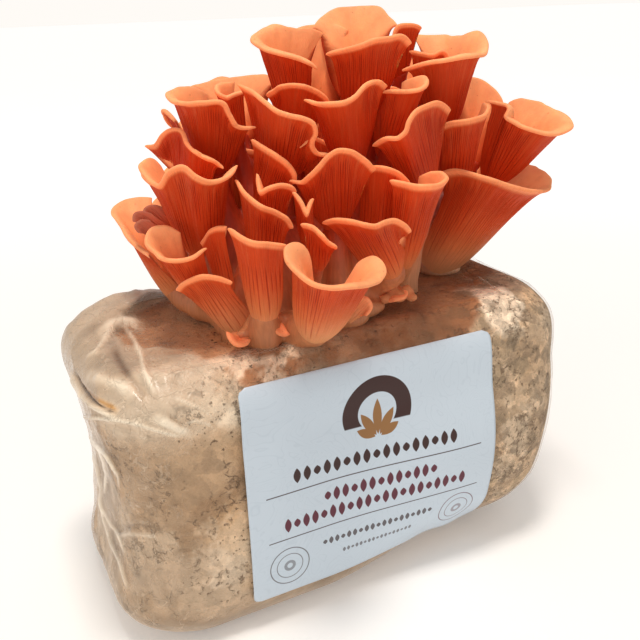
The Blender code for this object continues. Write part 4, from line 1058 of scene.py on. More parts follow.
def block_look(points):
    """How gritty and how white the block is, and how much of the cluster's painted shadow it takes. White
    mycelium shows at the left end and over the left of the top; painted light whitens the upper front edge
    and a pool at the top's right end."""
    x, y, z = points[..., 0], points[..., 1], points[..., 2]
    grit = 0.3 + 0.5 * rising(x, 40.0, 30.0) + 0.3 * rising(z, 100.0, 20.0)
    grit = grit * rising(x, -100.0, 60.0) + 0.12
    ragged = rough(points, 9.0, 4, 47)
    left = 0.3 * falling(x, 20.0, 70.0) * rising(rough(points, 22.0, 4, 41), 0.42, 0.12)
    # Painted light along the upper front edge
    edge = rising(z, UPPER_EDGE, 7.0) * falling(y, FRONT_FACE, 8.0) * rising(ragged, 0.38, 0.1)
    edge = edge * falling(x, 46.0, 12.0) * (0.15 + 0.85 * falling(x, -8.0, 28.0))
    top = 0.85 * rising(z, UPPER_EDGE, 14.0) * falling(x, -10.0, 30.0) * rising(ragged, 0.36, 0.1)
    # A pool of painted light at the top's right end
    away = (points[..., :2] - LIT_PATCH_MIDDLE) / LIT_PATCH_RADII
    from_patch = np.hypot(away[..., 0], away[..., 1]) + 1.2 * (ragged - 0.5)
    right = falling(from_patch, 1.1, 0.2) * rising(z, 106.0, 5.0)
    white = np.maximum(np.maximum(left, 0.9 * edge), np.maximum(top, right))
    # The cluster's painted shadow, weaker where the upper front edge takes painted light
    painted_shadow = cluster_shadow_paint(points) * (1.0 - 0.75 * edge)
    return np.stack([np.clip(grit, 0.0, 1.0), white, painted_shadow, np.ones(x.shape)], axis=-1)


def make_block_piece(material):
    """The pressed block: the bag's shape, drawn in by lumps and fine noise, and further in under the
    empty corner of film."""
    points = press(bag_shell(BLOCK_INSET, BLOCK_ROWS, False))
    normal = surface_normals(points)
    tight = tight_share(points)
    empty = rising(points[..., 2], 92.0, 14.0) * falling(points[..., 0], LEFT_START, 18.0)
    inside = LUMP_DEPTH * block_lumps(points) + GRAIN_DEPTH * rough(points, GRAIN_SIZE, 2, 3)
    inside = inside * tight - BLOCK_SWELL + 0.5 * tight + EMPTY_DEPTH * empty
    inside[-1] = inside[-1].mean()
    points = points - (resting(points) * inside)[..., None] * normal
    points[..., 2] = np.maximum(points[..., 2], BLOCK_INSET)
    rows, columns = points.shape[:2]
    index = np.arange(rows * columns).reshape(rows, columns)
    faces = [grid_faces(rows, columns, wrap_columns=True), index[:1, ::-1], index[-1:]]
    mesh = make_mesh("pressed_block", points, faces, block_look(points))
    return place_piece("pressed_block", mesh, material, "sawdust", "substrate_block")


def front_plane(heights):
    """Where the bag's front stands at each height, read off a column of the film on its straight front."""
    column = bag_shell(0.0, FILM_ROWS, True)[:, SIDE_POINTS[0] // 2]
    side = column[column[:, 2] < BAG_LEVELS[-1, 0]]
    return np.interp(heights, side[:, 2], side[:, 1])


def make_label_piece(material):
    """The label: a grid over the bag's pressed front, with rounded corners, slack buckles along its lower
    right edge and a thin wall."""
    across, up = (np.linspace(0.0, 1.0, count) for count in LABEL_GRID)
    z = LABEL_BOTTOM + up * (LABEL_TOP - LABEL_BOTTOM)
    to_edge = np.minimum(z - LABEL_BOTTOM, LABEL_TOP - z)
    beyond = np.maximum(LABEL_CORNER - to_edge, 0.0)
    short = LABEL_CORNER - np.sqrt(np.maximum(LABEL_CORNER**2 - beyond**2, 0.0))
    left, right = LABEL_LEFT + short, LABEL_RIGHT - short
    x = left[:, None] + across[None] * (right - left)[:, None]
    z = np.broadcast_to(z[:, None], x.shape)
    points = press(np.stack([x, front_plane(z), z], axis=-1))
    slack = falling(z, 34.0, 22.0) * rising(x, 0.0, 50.0)
    buckle = slack * (1.1 * np.sin(x / 6.3) + 0.9 * np.sin(x / 3.9 + z / 7.0) + 1.2)
    ripple = LABEL_RIPPLE * (rough(points, 26.0, 2, 21) - 0.2)
    outward = np.array([0.0, -1.0, 0.0])
    back = points + (LABEL_STAND_OFF + ripple + 0.5 * buckle)[..., None] * outward
    front = back + LABEL_THICK * outward
    both = np.concatenate([front.reshape(-1, 3), back.reshape(-1, 3)])
    columns, rows = LABEL_GRID
    index = np.arange(rows * columns).reshape(rows, columns)
    border = np.concatenate([index[0, :-1], index[:-1, -1], index[-1, :0:-1], index[:0:-1, 0]])
    after = np.roll(border, -1)
    rim = np.stack([after, border, border + index.size, after + index.size], axis=1)
    quads = grid_faces(rows, columns)
    faces = [np.concatenate([quads, quads[:, ::-1] + index.size, rim])]
    place = (np.stack([x - LABEL_LEFT, z - LABEL_BOTTOM], axis=-1) * PLACE_SCALE).reshape(-1, 2)
    mesh = make_mesh("paper_label", both, faces, None, np.concatenate([place, place]))
    return place_piece("paper_label", mesh, material, "paper", "label")


# Materials

PER_METRE = 1000.0

# Colours along the flesh: by height in the cluster, up the gilled side and up the smooth upper side. Then
# the bands and spots in it, the dark folds' colours, partly painted shade, and the low part of the stems:
# painted shade on its left and a paler colour on its right.
WARMTH_STOPS = ((0.0, (0.66, 0.28, 0.125)), (0.16, (0.60, 0.17, 0.058)), (0.36, (0.55, 0.088, 0.022)),
                (0.6, (0.50, 0.05, 0.009)), (1.0, (0.43, 0.027, 0.004)))
GILL_STOPS = ((0.0, (0.539, 0.0574, 0.0104)), (0.6, (0.531, 0.047, 0.00783)),
              (0.9, (0.566, 0.0539, 0.00957)), (0.965, (0.731, 0.148, 0.0452)),
              (1.0, (0.94, 0.28, 0.108)))
UPPER_STOPS = ((0.0, (0.70, 0.09, 0.02)), (0.4, (0.84, 0.21, 0.068)), (0.75, (0.92, 0.35, 0.145)),
               (1.0, (0.94, 0.375, 0.165)))
YOUNG_STOPS = ((0.0, (0.76, 0.17, 0.06)), (1.0, (0.88, 0.28, 0.12)))
DARK_FOLD_STOPS = ((0.0, (0.34, 0.075, 0.04)), (1.0, (0.44, 0.13, 0.075)))
GILL_BAND = (0.63, 0.125, 0.04, 1.0)
YOUNG_BAND, DARK_FOLD_BAND = (0.88, 0.26, 0.11, 1.0), (0.48, 0.16, 0.10, 1.0)
SPOT_COLOUR = (0.42, 0.12, 0.045, 1.0)
LOW_STEM_SHADE, LOW_PALE = (0.43, 0.14, 0.05, 1.0), (0.95, 0.66, 0.45, 1.0)

# The block: its base colours, straw, pale and shaded flakes, mycelium and painted light, borders that
# are partly painted shade, chips and the cluster's painted shadow
BASE_STOPS = ((0.32, (0.42, 0.27, 0.155)), (0.45, (0.54, 0.365, 0.225)), (0.54, (0.64, 0.455, 0.295)),
              (0.66, (0.78, 0.60, 0.42)))
STRAW, PALE_FLAKE = (0.72, 0.45, 0.23, 1.0), (0.84, 0.66, 0.48, 1.0)
SHADED_FLAKE, MYCELIUM_AND_LIGHT = (0.34, 0.245, 0.15, 1.0), (0.94, 0.77, 0.58, 1.0)
FLAKE_BORDER_SHADE, CHIP = (0.15, 0.08, 0.035, 1.0), (0.115, 0.06, 0.022, 1.0)
SHADOW_PAINT_TINT, DIMNESS = (0.66, 0.36, 0.20, 1.0), (0.78, 0.69, 0.59, 1.0)

# The film's colours from painted highlight through its own tone to painted shade, and what a golden
# crease takes away
FILM_STOPS = ((0.0, (0.97, 0.82, 0.63)), (0.5, (0.67, 0.50, 0.345)), (0.75, (0.38, 0.265, 0.175)),
              (1.0, (0.13, 0.06, 0.02)))
GOLD = (0.95, 0.66, 0.33, 1.0)

# The label's paper, the lines in it and its inks
PAPER, PAPER_LINE = (0.60, 0.69, 0.78, 1.0), (0.51, 0.60, 0.69, 1.0)
DARK_INK, MAROON_INK = (0.045, 0.016, 0.014, 1.0), (0.12, 0.022, 0.04, 1.0)
TAN_INK = (0.31, 0.15, 0.05, 1.0)


def give_inputs(tree, node, inputs):
    """Sets a node's inputs to values, or joins them to sockets."""
    for key, value in inputs.items():
        if isinstance(value, bpy.types.NodeSocket):
            tree.links.new(value, node.inputs[key])
        else:
            node.inputs[key].default_value = value


def add(tree, kind, inputs=None, **settings):
    """A shader node with its settings and inputs."""
    made = tree.nodes.new(kind)
    for key, value in settings.items():
        setattr(made, key, value)
    give_inputs(tree, made, inputs or {})
    return made


def calc(tree, operation, first, second=0.0, third=0.0):
    """One sum worked out by a math node."""
    return add(tree, "ShaderNodeMath", {0: first, 1: second, 2: third}, operation=operation).outputs[0]


def between(tree, value, low, high, to_low=0.0, to_high=1.0):
    """A smooth step of a value from one range to another."""
    inputs = {"Value": value, "From Min": low, "From Max": high, "To Min": to_low, "To Max": to_high}
    return add(tree, "ShaderNodeMapRange", inputs, interpolation_type="SMOOTHSTEP").outputs["Result"]


def mix(tree, share, first, second, how="MIX"):
    """The first colour with a share of the second over it."""
    inputs = {0: share, 6: first, 7: second}
    return add(tree, "ShaderNodeMix", inputs, data_type="RGBA", blend_type=how).outputs[2]


def times(tree, colour, factor):
    """A colour times another colour or a plain factor."""
    return mix(tree, 1.0, colour, factor, "MULTIPLY")


def ramp(tree, value, stops):
    """A colour that runs through stops, each at its position between 0 and 1."""
    made = add(tree, "ShaderNodeValToRGB", {0: value})
    band = made.color_ramp
    while len(band.elements) < len(stops):
        band.elements.new(0.5)
    for element, (position, colour) in zip(band.elements, stops):
        element.position = position
        element.color = (*colour, 1.0)
    return made.outputs[0]


def cloud(tree, where, scale, detail=2.0, roughness=0.5, distortion=0.0):
    """Soft noise from 0 to 1."""
    return add(tree, "ShaderNodeTexNoise", {"Vector": where, "Scale": scale, "Detail": detail,
                                            "Roughness": roughness, "Distortion": distortion}).outputs[0]


def parts_of(tree, vector):
    """The three parts of a vector."""
    return add(tree, "ShaderNodeSeparateXYZ", {0: vector}).outputs


def parts_of_colour(tree, colour):
    """The three parts of a colour."""
    return add(tree, "ShaderNodeSeparateColor", {0: colour}).outputs


def grey(tree, red, rest):
    """A colour with one value for its red and one for its green and blue."""
    return add(tree, "ShaderNodeCombineColor", {0: red, 1: rest, 2: rest}).outputs[0]


def object_place(tree):
    """The place of a point on the object, in metres."""
    return add(tree, "ShaderNodeTexCoord").outputs["Object"]


def surface_place(tree):
    """The place of a point on the piece's own map."""
    return add(tree, "ShaderNodeUVMap", uv_map="place").outputs[0]


def point_look(tree):
    """The four parts of the look that the mesh gives each point."""
    look = add(tree, "ShaderNodeAttribute", attribute_name="look")
    return *parts_of_colour(tree, look.outputs["Color"])[:3], look.outputs["Alpha"]


def roughen(tree, shader, height, strength, distance):
    """Small relief on the shader's normal, from a height."""
    bump = add(tree, "ShaderNodeBump", {"Height": height, "Strength": strength, "Distance": distance})
    tree.links.new(bump.outputs[0], shader.inputs["Normal"])


def start_material(name, **shader_values):
    """A material with a plain Principled shader, whose fixed values are set on its own sockets."""
    material = bpy.data.materials.new(name)
    material.use_nodes = True
    tree = material.node_tree
    shader = tree.nodes["Principled BSDF"]
    for key, value in shader_values.items():
        shader.inputs[key.replace("_", " ")].default_value = value
    return material, tree, shader


def start_group(name, inputs, outputs):
    """A shader node group with named float, colour or vector sockets."""
    group = bpy.data.node_groups.new(name, "ShaderNodeTree")
    for socket, kind, value in inputs:
        made = group.interface.new_socket(socket, in_out="INPUT", socket_type="NodeSocket" + kind)
        if value is not None:
            made.default_value = value
    for socket, kind in outputs:
        group.interface.new_socket(socket, in_out="OUTPUT", socket_type="NodeSocket" + kind)
    return group, group.nodes.new("NodeGroupInput").outputs, group.nodes.new("NodeGroupOutput").inputs


def use_group(tree, group, inputs):
    """The outputs of a node group that a tree uses with its own inputs."""
    made = add(tree, "ShaderNodeGroup", node_tree=group)
    give_inputs(tree, made, inputs)
    return made.outputs


def mottle_group():
    """Soft blotches: noise of a given size, spread round 1 by a given contrast."""
    inputs = (("Vector", "Vector", None), ("Size mm", "Float", 8.0), ("Contrast", "Float", 0.2))
    group, given, out = start_group("soft mottle", inputs, (("Factor", "Float"),))
    scale = calc(group, "DIVIDE", PER_METRE, given["Size mm"])
    swing = calc(group, "SUBTRACT", cloud(group, given["Vector"], scale, 3.0), 0.5)
    swing = calc(group, "MULTIPLY", swing, given["Contrast"])
    group.links.new(calc(group, "MULTIPLY_ADD", swing, 2.0, 1.0), out["Factor"])
    return group


def speck_group():
    """Scattered specks: cells of a given size hold a ragged chip where their own random value is under
    the amount."""
    inputs = (("Vector", "Vector", None), ("Size mm", "Float", 2.0), ("Amount", "Float", 0.3),
              ("Spread", "Float", 0.3))
    group, given, out = start_group("specks", inputs, (("Mask", "Float"),))
    scale = calc(group, "DIVIDE", PER_METRE, given["Size mm"])
    finer = calc(group, "MULTIPLY", scale, 4.5)
    wobble = add(group, "ShaderNodeTexNoise", {"Vector": given["Vector"], "Scale": finer, "Detail": 4.0,
                                               "Roughness": 0.6})
    reach = calc(group, "DIVIDE", 0.75, scale)
    bent = add(group, "ShaderNodeVectorMath", {0: wobble.outputs["Color"], 3: reach}, operation="SCALE")
    moved = add(group, "ShaderNodeVectorMath", {0: given["Vector"], 1: bent.outputs[0]}, operation="ADD")
    cells = add(group, "ShaderNodeTexVoronoi", {"Vector": moved.outputs[0], "Scale": scale})
    pick = parts_of_colour(group, cells.outputs["Color"])
    chosen = calc(group, "LESS_THAN", pick[0], given["Amount"])
    width = calc(group, "MULTIPLY", given["Spread"], calc(group, "MULTIPLY_ADD", pick[1], 0.8, 0.5))
    soft = calc(group, "MULTIPLY", calc(group, "SUBTRACT", width, cells.outputs["Distance"]), 20.0)
    soft.node.use_clamp = True
    group.links.new(calc(group, "MULTIPLY", soft, chosen), out["Mask"])
    return group


def fibre_group():
    """Fine streaks along V: noise squeezed across U."""
    inputs = (("Vector", "Vector", None), ("Across", "Float", 90.0), ("Along", "Float", 6.0))
    group, given, out = start_group("fibres", inputs, (("Factor", "Float"),))
    stretch = add(group, "ShaderNodeCombineXYZ", {0: given["Across"], 1: given["Along"], 2: 1.0})
    scaled = add(group, "ShaderNodeVectorMath", {0: given["Vector"], 1: stretch.outputs[0]},
                 operation="MULTIPLY")
    group.links.new(cloud(group, scaled.outputs[0], 1.0), out["Factor"])
    return group


def warmth_group():
    """The flesh's colour by height: pale peach at the block, deep orange-red up inside the cluster."""
    group, given, out = start_group("flesh by height", (("Vector", "Vector", None),), (("Color", "Color"),))
    height = between(group, parts_of(group, given["Vector"])[2], 0.122, 0.195)
    group.links.new(ramp(group, height, WARMTH_STOPS), out["Color"])
    return group


MOTTLE, SPECKS, FIBRES, WARMTH = mottle_group(), speck_group(), fibre_group(), warmth_group()


def flesh_material(name, gill_stops, upper_stops, band, groove):
    """Fruit flesh. The gilled side takes the stem's colour at its foot, is orange-red above and pale at the
    rim, and darkens with painted shade in its grooves. The upper side is smooth and peach. A faint glow of
    its own colour stands for the light that comes through the thin flesh."""
    material, tree, shader = start_material(name, Roughness=0.55, Specular_IOR_Level=0.12,
                                            Subsurface_Weight=0.1, Subsurface_Scale=0.002,
                                            Subsurface_Radius=(1.0, 0.2, 0.06), Emission_Strength=0.1)
    where, surface = object_place(tree), surface_place(tree)
    relief, up, side, _ = point_look(tree)
    fibres = use_group(tree, FIBRES, {"Vector": surface, "Across": 170.0, "Along": 10.0})["Factor"]
    bands = use_group(tree, FIBRES, {"Vector": surface, "Across": 34.0, "Along": 4.0})["Factor"]
    gilled = mix(tree, between(tree, bands, 0.45, 0.75, 0.0, 0.5), ramp(tree, up, gill_stops), band)
    by_height = use_group(tree, WARMTH, {"Vector": where})["Color"]
    gilled = mix(tree, between(tree, up, 0.05, 0.95, 0.0, 0.75), by_height, gilled)
    gilled = mix(tree, between(tree, up, 0.90, 0.99), gilled, (*gill_stops[-1][1], 1.0))
    # Painted shade in the gill grooves
    dark = between(tree, relief, 0.0, 1.0, groove, 1.0)
    gilled = times(tree, gilled, grey(tree, calc(tree, "POWER", dark, 0.5), dark))
    blotch = use_group(tree, MOTTLE, {"Vector": where, "Size mm": 5.0, "Contrast": 0.22})["Factor"]
    upper = times(tree, ramp(tree, up, upper_stops), blotch)
    spots = use_group(tree, SPECKS, {"Vector": where, "Size mm": 2.2, "Amount": 0.22, "Spread": 0.22})
    upper = mix(tree, calc(tree, "MULTIPLY", spots["Mask"], 0.35), upper, SPOT_COLOUR)
    broad = use_group(tree, MOTTLE, {"Vector": where, "Size mm": 28.0, "Contrast": 0.22})["Factor"]
    colour = times(tree, mix(tree, side, gilled, upper), broad)
    swing = calc(tree, "MULTIPLY", calc(tree, "MULTIPLY_ADD", side, -0.09, 0.12), 4.0)
    streaks = calc(tree, "MULTIPLY_ADD", calc(tree, "SUBTRACT", fibres, 0.5), swing, 1.0)
    colour = times(tree, colour, streaks)
    tree.links.new(colour, shader.inputs["Base Color"])
    tree.links.new(colour, shader.inputs["Emission Color"])
    grain = cloud(tree, where, 900.0, 3.0)
    tree.links.new(between(tree, grain, 0.3, 0.7, 0.5, 0.65), shader.inputs["Roughness"])
    height = calc(tree, "MULTIPLY_ADD", fibres, calc(tree, "MULTIPLY_ADD", side, -0.7, 0.7), grain)
    roughen(tree, shader, height, 0.25, 0.0006)
    return material


def stem_material():
    """Stem flesh: pale peach at the foot and warmer toward the fans, with fine streaks. Low down, painted
    shade darkens its left side, where the cluster shades it, and it is paler to the right."""
    material, tree, shader = start_material("stem flesh", Roughness=0.55, Subsurface_Weight=0.15,
                                            Subsurface_Scale=0.002, Subsurface_Radius=(1.0, 0.35, 0.15))
    where = object_place(tree)
    warm = use_group(tree, WARMTH, {"Vector": where})["Color"]
    blotch = use_group(tree, MOTTLE, {"Vector": where, "Size mm": 9.0, "Contrast": 0.3})["Factor"]
    colour = times(tree, warm, blotch)
    across, _, above = parts_of(tree, where)
    low = between(tree, above, 0.132, 0.158, 1.0, 0.0)
    # Painted shade low on the stems' left side
    low_shade = calc(tree, "MULTIPLY", between(tree, across, -0.02, 0.045, 0.62, 0.0), low)
    colour = mix(tree, low_shade, colour, LOW_STEM_SHADE)
    pale = calc(tree, "MULTIPLY", between(tree, across, 0.035, 0.075, 0.0, 0.4), low)
    colour = mix(tree, pale, colour, LOW_PALE)
    streak = use_group(tree, FIBRES, {"Vector": where, "Across": 700.0, "Along": 700.0})["Factor"]
    colour = times(tree, colour, between(tree, streak, 0.3, 0.7, 0.9, 1.08))
    tree.links.new(colour, shader.inputs["Base Color"])
    roughen(tree, shader, streak, 0.35, 0.0008)
    return material


def flake_group():
    """Flakes: cells of a given size with wandering borders. Gives each flake's own tone, and its border
    where a fine and a broad noise let it show."""
    group, given, out = start_group("flakes", (("Vector", "Vector", None), ("Size mm", "Float", 9.0)),
                                    (("Tone", "Float"), ("Edge", "Float")))
    scale = calc(group, "DIVIDE", PER_METRE, given["Size mm"])
    wander = add(group, "ShaderNodeTexNoise", {"Vector": given["Vector"], "Scale": scale, "Detail": 5.0,
                                               "Roughness": 0.65})
    placed = add(group, "ShaderNodeVectorMath", {0: given["Vector"], 3: scale}, operation="SCALE")
    moved = add(group, "ShaderNodeVectorMath", {0: wander.outputs["Color"], 1: (1.7, 1.7, 1.7),
                                                2: placed.outputs[0]}, operation="MULTIPLY_ADD")
    cells = add(group, "ShaderNodeTexVoronoi", {"Vector": moved.outputs[0], "Scale": 1.0})
    group.links.new(parts_of_colour(group, cells.outputs["Color"])[0], out["Tone"])
    border = add(group, "ShaderNodeTexVoronoi", {"Vector": moved.outputs[0], "Scale": 1.0},
                 feature="DISTANCE_TO_EDGE")
    line = between(group, border.outputs["Distance"], 0.0, 0.06, 1.0, 0.0)
    broken = cloud(group, given["Vector"], calc(group, "MULTIPLY", scale, 4.0), 2.0)
    line = calc(group, "MULTIPLY", line, between(group, broken, 0.44, 0.56))
    patch = cloud(group, given["Vector"], calc(group, "MULTIPLY", scale, 0.7), 4.0)
    group.links.new(calc(group, "MULTIPLY", line, between(group, patch, 0.51, 0.57)), out["Edge"])
    return group


def block_material():
    """Pressed sawdust and straw under white mycelium: cream and tan flakes with golden ones among them,
    dark borders here and there, partly cracks and partly painted shade along the flakes' edges, specks in
    loose groups that thicken where the block is coarse, painted light along the upper front edge and at the
    top's right end, and a smooth, warm painted shadow of the cluster round the slot, where it grows out."""
    flakes = flake_group()
    material, tree, shader = start_material("pressed sawdust", Roughness=0.85)
    where = object_place(tree)
    grit, white, painted_shadow, _ = point_look(tree)

    def grain(scale, detail=4.0, roughness=0.6):
        """Noise over the block."""
        return cloud(tree, where, scale, detail, roughness)

    def flake(size, output):
        """What the flakes of a size give."""
        return use_group(tree, flakes, {"Vector": where, "Size mm": size})[output]

    def brightened(colour, value, swing):
        """A colour times 1, more or less by a value's distance from a half."""
        gain = calc(tree, "MULTIPLY_ADD", calc(tree, "SUBTRACT", value, 0.5), swing, 1.0)
        return times(tree, colour, gain)

    # Flake tones and borders fade inside the cluster's painted shadow
    plain = calc(tree, "MULTIPLY_ADD", painted_shadow, -0.8, 1.0)
    coarse = between(tree, grit, 0.35, 0.85)
    base = ramp(tree, grain(34.0, 5.0), BASE_STOPS)
    base = mix(tree, between(tree, grain(31.0, 3.0), 0.54, 0.64, 0.0, 0.5), base, STRAW)
    base = mix(tree, between(tree, grain(23.0, 5.0, 0.7), 0.55, 0.61, 0.0, 0.6), base, PALE_FLAKE)
    broken = calc(tree, "MULTIPLY_ADD", flake(6.0, "Tone"), 0.26, grain(40.0, 5.0, 0.65))
    shady = calc(tree, "MULTIPLY", coarse, between(tree, broken, 0.5, 0.66, 1.0, 0.25))
    base = mix(tree, calc(tree, "MULTIPLY", shady, 0.85), base, SHADED_FLAKE)
    # Mycelium's colour, also used for the painted light along the upper front edge and at the top's right
    # end
    base = mix(tree, white, base, MYCELIUM_AND_LIGHT)
    for value, low, high in ((flake(8.5, "Tone"), 0.3, 0.55), (flake(3.4, "Tone"), 0.24, 0.5),
                             (grain(260.0, 4.0, 0.7), 0.5, 1.1)):
        swing = calc(tree, "MULTIPLY", between(tree, coarse, 0.0, 1.0, low, high), plain)
        base = brightened(base, value, swing)
    # Dark flake borders, partly cracks and partly painted shade along the flakes' edges; they also sink the
    # bump
    edges = 0.0
    for size, depth in ((15.0, 0.8), (8.0, 0.7), (5.0, calc(tree, "MULTIPLY", coarse, 0.85))):
        edges = calc(tree, "MAXIMUM", edges, calc(tree, "MULTIPLY", flake(size, "Edge"), depth))
    base = mix(tree, calc(tree, "MULTIPLY", edges, plain), base, FLAKE_BORDER_SHADE)
    groups = between(tree, grain(33.0), 0.46, 0.66, 0.05, 0.85)
    for size, spread in ((6.5, 0.15), (3.4, 0.19), (1.9, 0.20)):
        chips = use_group(tree, SPECKS, {"Vector": where, "Size mm": size, "Amount": groups,
                                         "Spread": spread})
        base = mix(tree, calc(tree, "MULTIPLY", chips["Mask"], 0.88), base, CHIP)
    # The cluster's shadow painted over the top round the slot
    base = mix(tree, painted_shadow, base, times(tree, base, SHADOW_PAINT_TINT))
    across, _, above = parts_of(tree, where)
    dim = calc(tree, "MULTIPLY", between(tree, across, -0.03, 0.04, 1.0, 0.0),
               between(tree, above, 0.04, 0.075))
    dim = calc(tree, "MULTIPLY", dim, between(tree, above, 0.092, 0.103, 1.0, 0.0))
    base = mix(tree, dim, base, times(tree, base, DIMNESS))
    tree.links.new(base, shader.inputs["Base Color"])
    lumps = calc(tree, "MULTIPLY_ADD", grain(42.0, 6.0, 0.62), 2.0, grain(420.0, 5.0))
    roughen(tree, shader, calc(tree, "MULTIPLY_ADD", edges, -1.0, lumps), 0.7, 0.0016)
    return material


def film_material():
    """Clear film: nearly see-through where it clings, milky where it stands off, glossy all over."""
    material, tree, shader = start_material("clear film", Roughness=0.3, Specular_IOR_Level=0.45,
                                            Coat_Weight=0.25, Coat_Roughness=0.12)
    where = object_place(tree)
    haze, shade, left, gold = point_look(tree)
    colour = ramp(tree, shade, FILM_STOPS)
    colour = mix(tree, gold, colour, times(tree, colour, GOLD))
    blotch = use_group(tree, MOTTLE, {"Vector": where, "Size mm": 16.0, "Contrast": 0.25})["Factor"]
    tree.links.new(times(tree, colour, blotch), shader.inputs["Base Color"])
    rim = add(tree, "ShaderNodeLayerWeight", {"Blend": 0.35}).outputs["Facing"]
    cover = calc(tree, "ADD", haze, calc(tree, "MULTIPLY", calc(tree, "POWER", rim, 3.0), 0.42))
    bends = calc(tree, "SUBTRACT", cloud(tree, where, 55.0, 3.0, distortion=1.6), 0.5)
    fold = between(tree, calc(tree, "ABSOLUTE", bends), 0.0, 0.022, 1.0, 0.0)
    cover = calc(tree, "MULTIPLY_ADD", fold, calc(tree, "MULTIPLY_ADD", left, 0.2, 0.04), cover)
    tree.links.new(between(tree, cover, 0.0, 1.0, 0.07, 0.97), shader.inputs["Alpha"])
    crinkle = calc(tree, "SUBTRACT", cloud(tree, where, 210.0, 4.0, distortion=1.2), 0.5)
    ridges = calc(tree, "MULTIPLY_ADD", fold, -0.2, calc(tree, "ABSOLUTE", crinkle))
    roughen(tree, shader, ridges, 0.7, 0.002)
    return material


def start_mark(name, **sizes):
    """A group that prints one mark: its place, its middle and its sizes in millimetres give a mask."""
    inputs = [("Place", "Vector", None), ("Middle", "Vector", None)]
    inputs += [(size, "Float", value) for size, value in sizes.items()]
    return start_group(name, inputs, (("Mask", "Float"),))


def printed(group, edge, sharpness=6.0):
    """1 inside a mark's edge and 0 outside, from how far inside it a place is."""
    mask = calc(group, "MULTIPLY_ADD", edge, sharpness, 0.5)
    mask.node.use_clamp = True
    return mask


def half_of(group, value):
    """Half a value."""
    return calc(group, "MULTIPLY", value, 0.5)


def from_middle(group, given):
    """The way from a mark's middle to a place."""
    off = add(group, "ShaderNodeVectorMath", {0: given["Place"], 1: given["Middle"]}, operation="SUBTRACT")
    return off.outputs[0]


def parabola(group, along, half_length):
    """1 less the square of the share of a half length."""
    share = calc(group, "DIVIDE", along, half_length)
    return calc(group, "SUBTRACT", 1.0, calc(group, "MULTIPLY", share, share))


def ring_group():
    """A ring: 1 where the distance from its middle lies within half the line's width of its radius."""
    group, given, out = start_mark("ring mark", Radius=5.0, Line=0.4)
    away = add(group, "ShaderNodeVectorMath", {0: from_middle(group, given)}, operation="LENGTH")
    off = calc(group, "ABSOLUTE", calc(group, "SUBTRACT", away.outputs["Value"], given["Radius"]))
    edge = calc(group, "SUBTRACT", half_of(group, given["Line"]), off)
    group.links.new(printed(group, edge), out["Mask"])
    return group


def bar_group():
    """A bar: 1 within half a width across and half a height up of its middle."""
    group, given, out = start_mark("bar mark", Width=10.0, Height=0.5)
    across, up = parts_of(group, from_middle(group, given))[:2]
    masks = [printed(group, calc(group, "SUBTRACT", half_of(group, size), calc(group, "ABSOLUTE", part)))
             for part, size in ((across, given["Width"]), (up, given["Height"]))]
    group.links.new(calc(group, "MULTIPLY", *masks), out["Mask"])
    return group


def leaf_group():
    """A leaf: as wide as a parabola along its length, turned about its middle."""
    group, given, out = start_mark("leaf mark", Turn=0.0, Length=6.0, Width=2.5)
    turned = add(group, "ShaderNodeVectorRotate", {"Vector": from_middle(group, given),
                                                   "Angle": given["Turn"]}, rotation_type="Z_AXIS")
    along, aside = parts_of(group, turned.outputs[0])[:2]
    swell = parabola(group, along, half_of(group, given["Length"]))
    half = calc(group, "MULTIPLY", half_of(group, given["Width"]), swell)
    edge = calc(group, "SUBTRACT", half, calc(group, "ABSOLUTE", aside))
    group.links.new(printed(group, edge), out["Mask"])
    return group


def row_group():
    """A row of upright leaves, every third one smaller, repeated at a pitch between two ends."""
    group, given, out = start_mark("ornament row", Width=60.0, Height=6.0, Pitch=4.5)
    across, up = parts_of(group, from_middle(group, given))[:2]
    cell = calc(group, "ADD", calc(group, "DIVIDE", across, given["Pitch"]), 60.5)
    place = calc(group, "SUBTRACT", calc(group, "FRACT", cell), 0.5)
    count = calc(group, "MODULO", calc(group, "FLOOR", cell), 3.0)
    size = between(group, count, 0.4, 0.6, 0.62, 1.0)
    swell = parabola(group, up, calc(group, "MULTIPLY", half_of(group, given["Height"]), size))
    width = calc(group, "MULTIPLY", calc(group, "MULTIPLY", given["Pitch"], 0.36), swell)
    aside = calc(group, "MULTIPLY", calc(group, "ABSOLUTE", place), given["Pitch"])
    inside = printed(group, calc(group, "SUBTRACT", width, aside), 5.0)
    ends = calc(group, "LESS_THAN", calc(group, "ABSOLUTE", across), half_of(group, given["Width"]))
    group.links.new(calc(group, "MULTIPLY", inside, ends), out["Mask"])
    return group


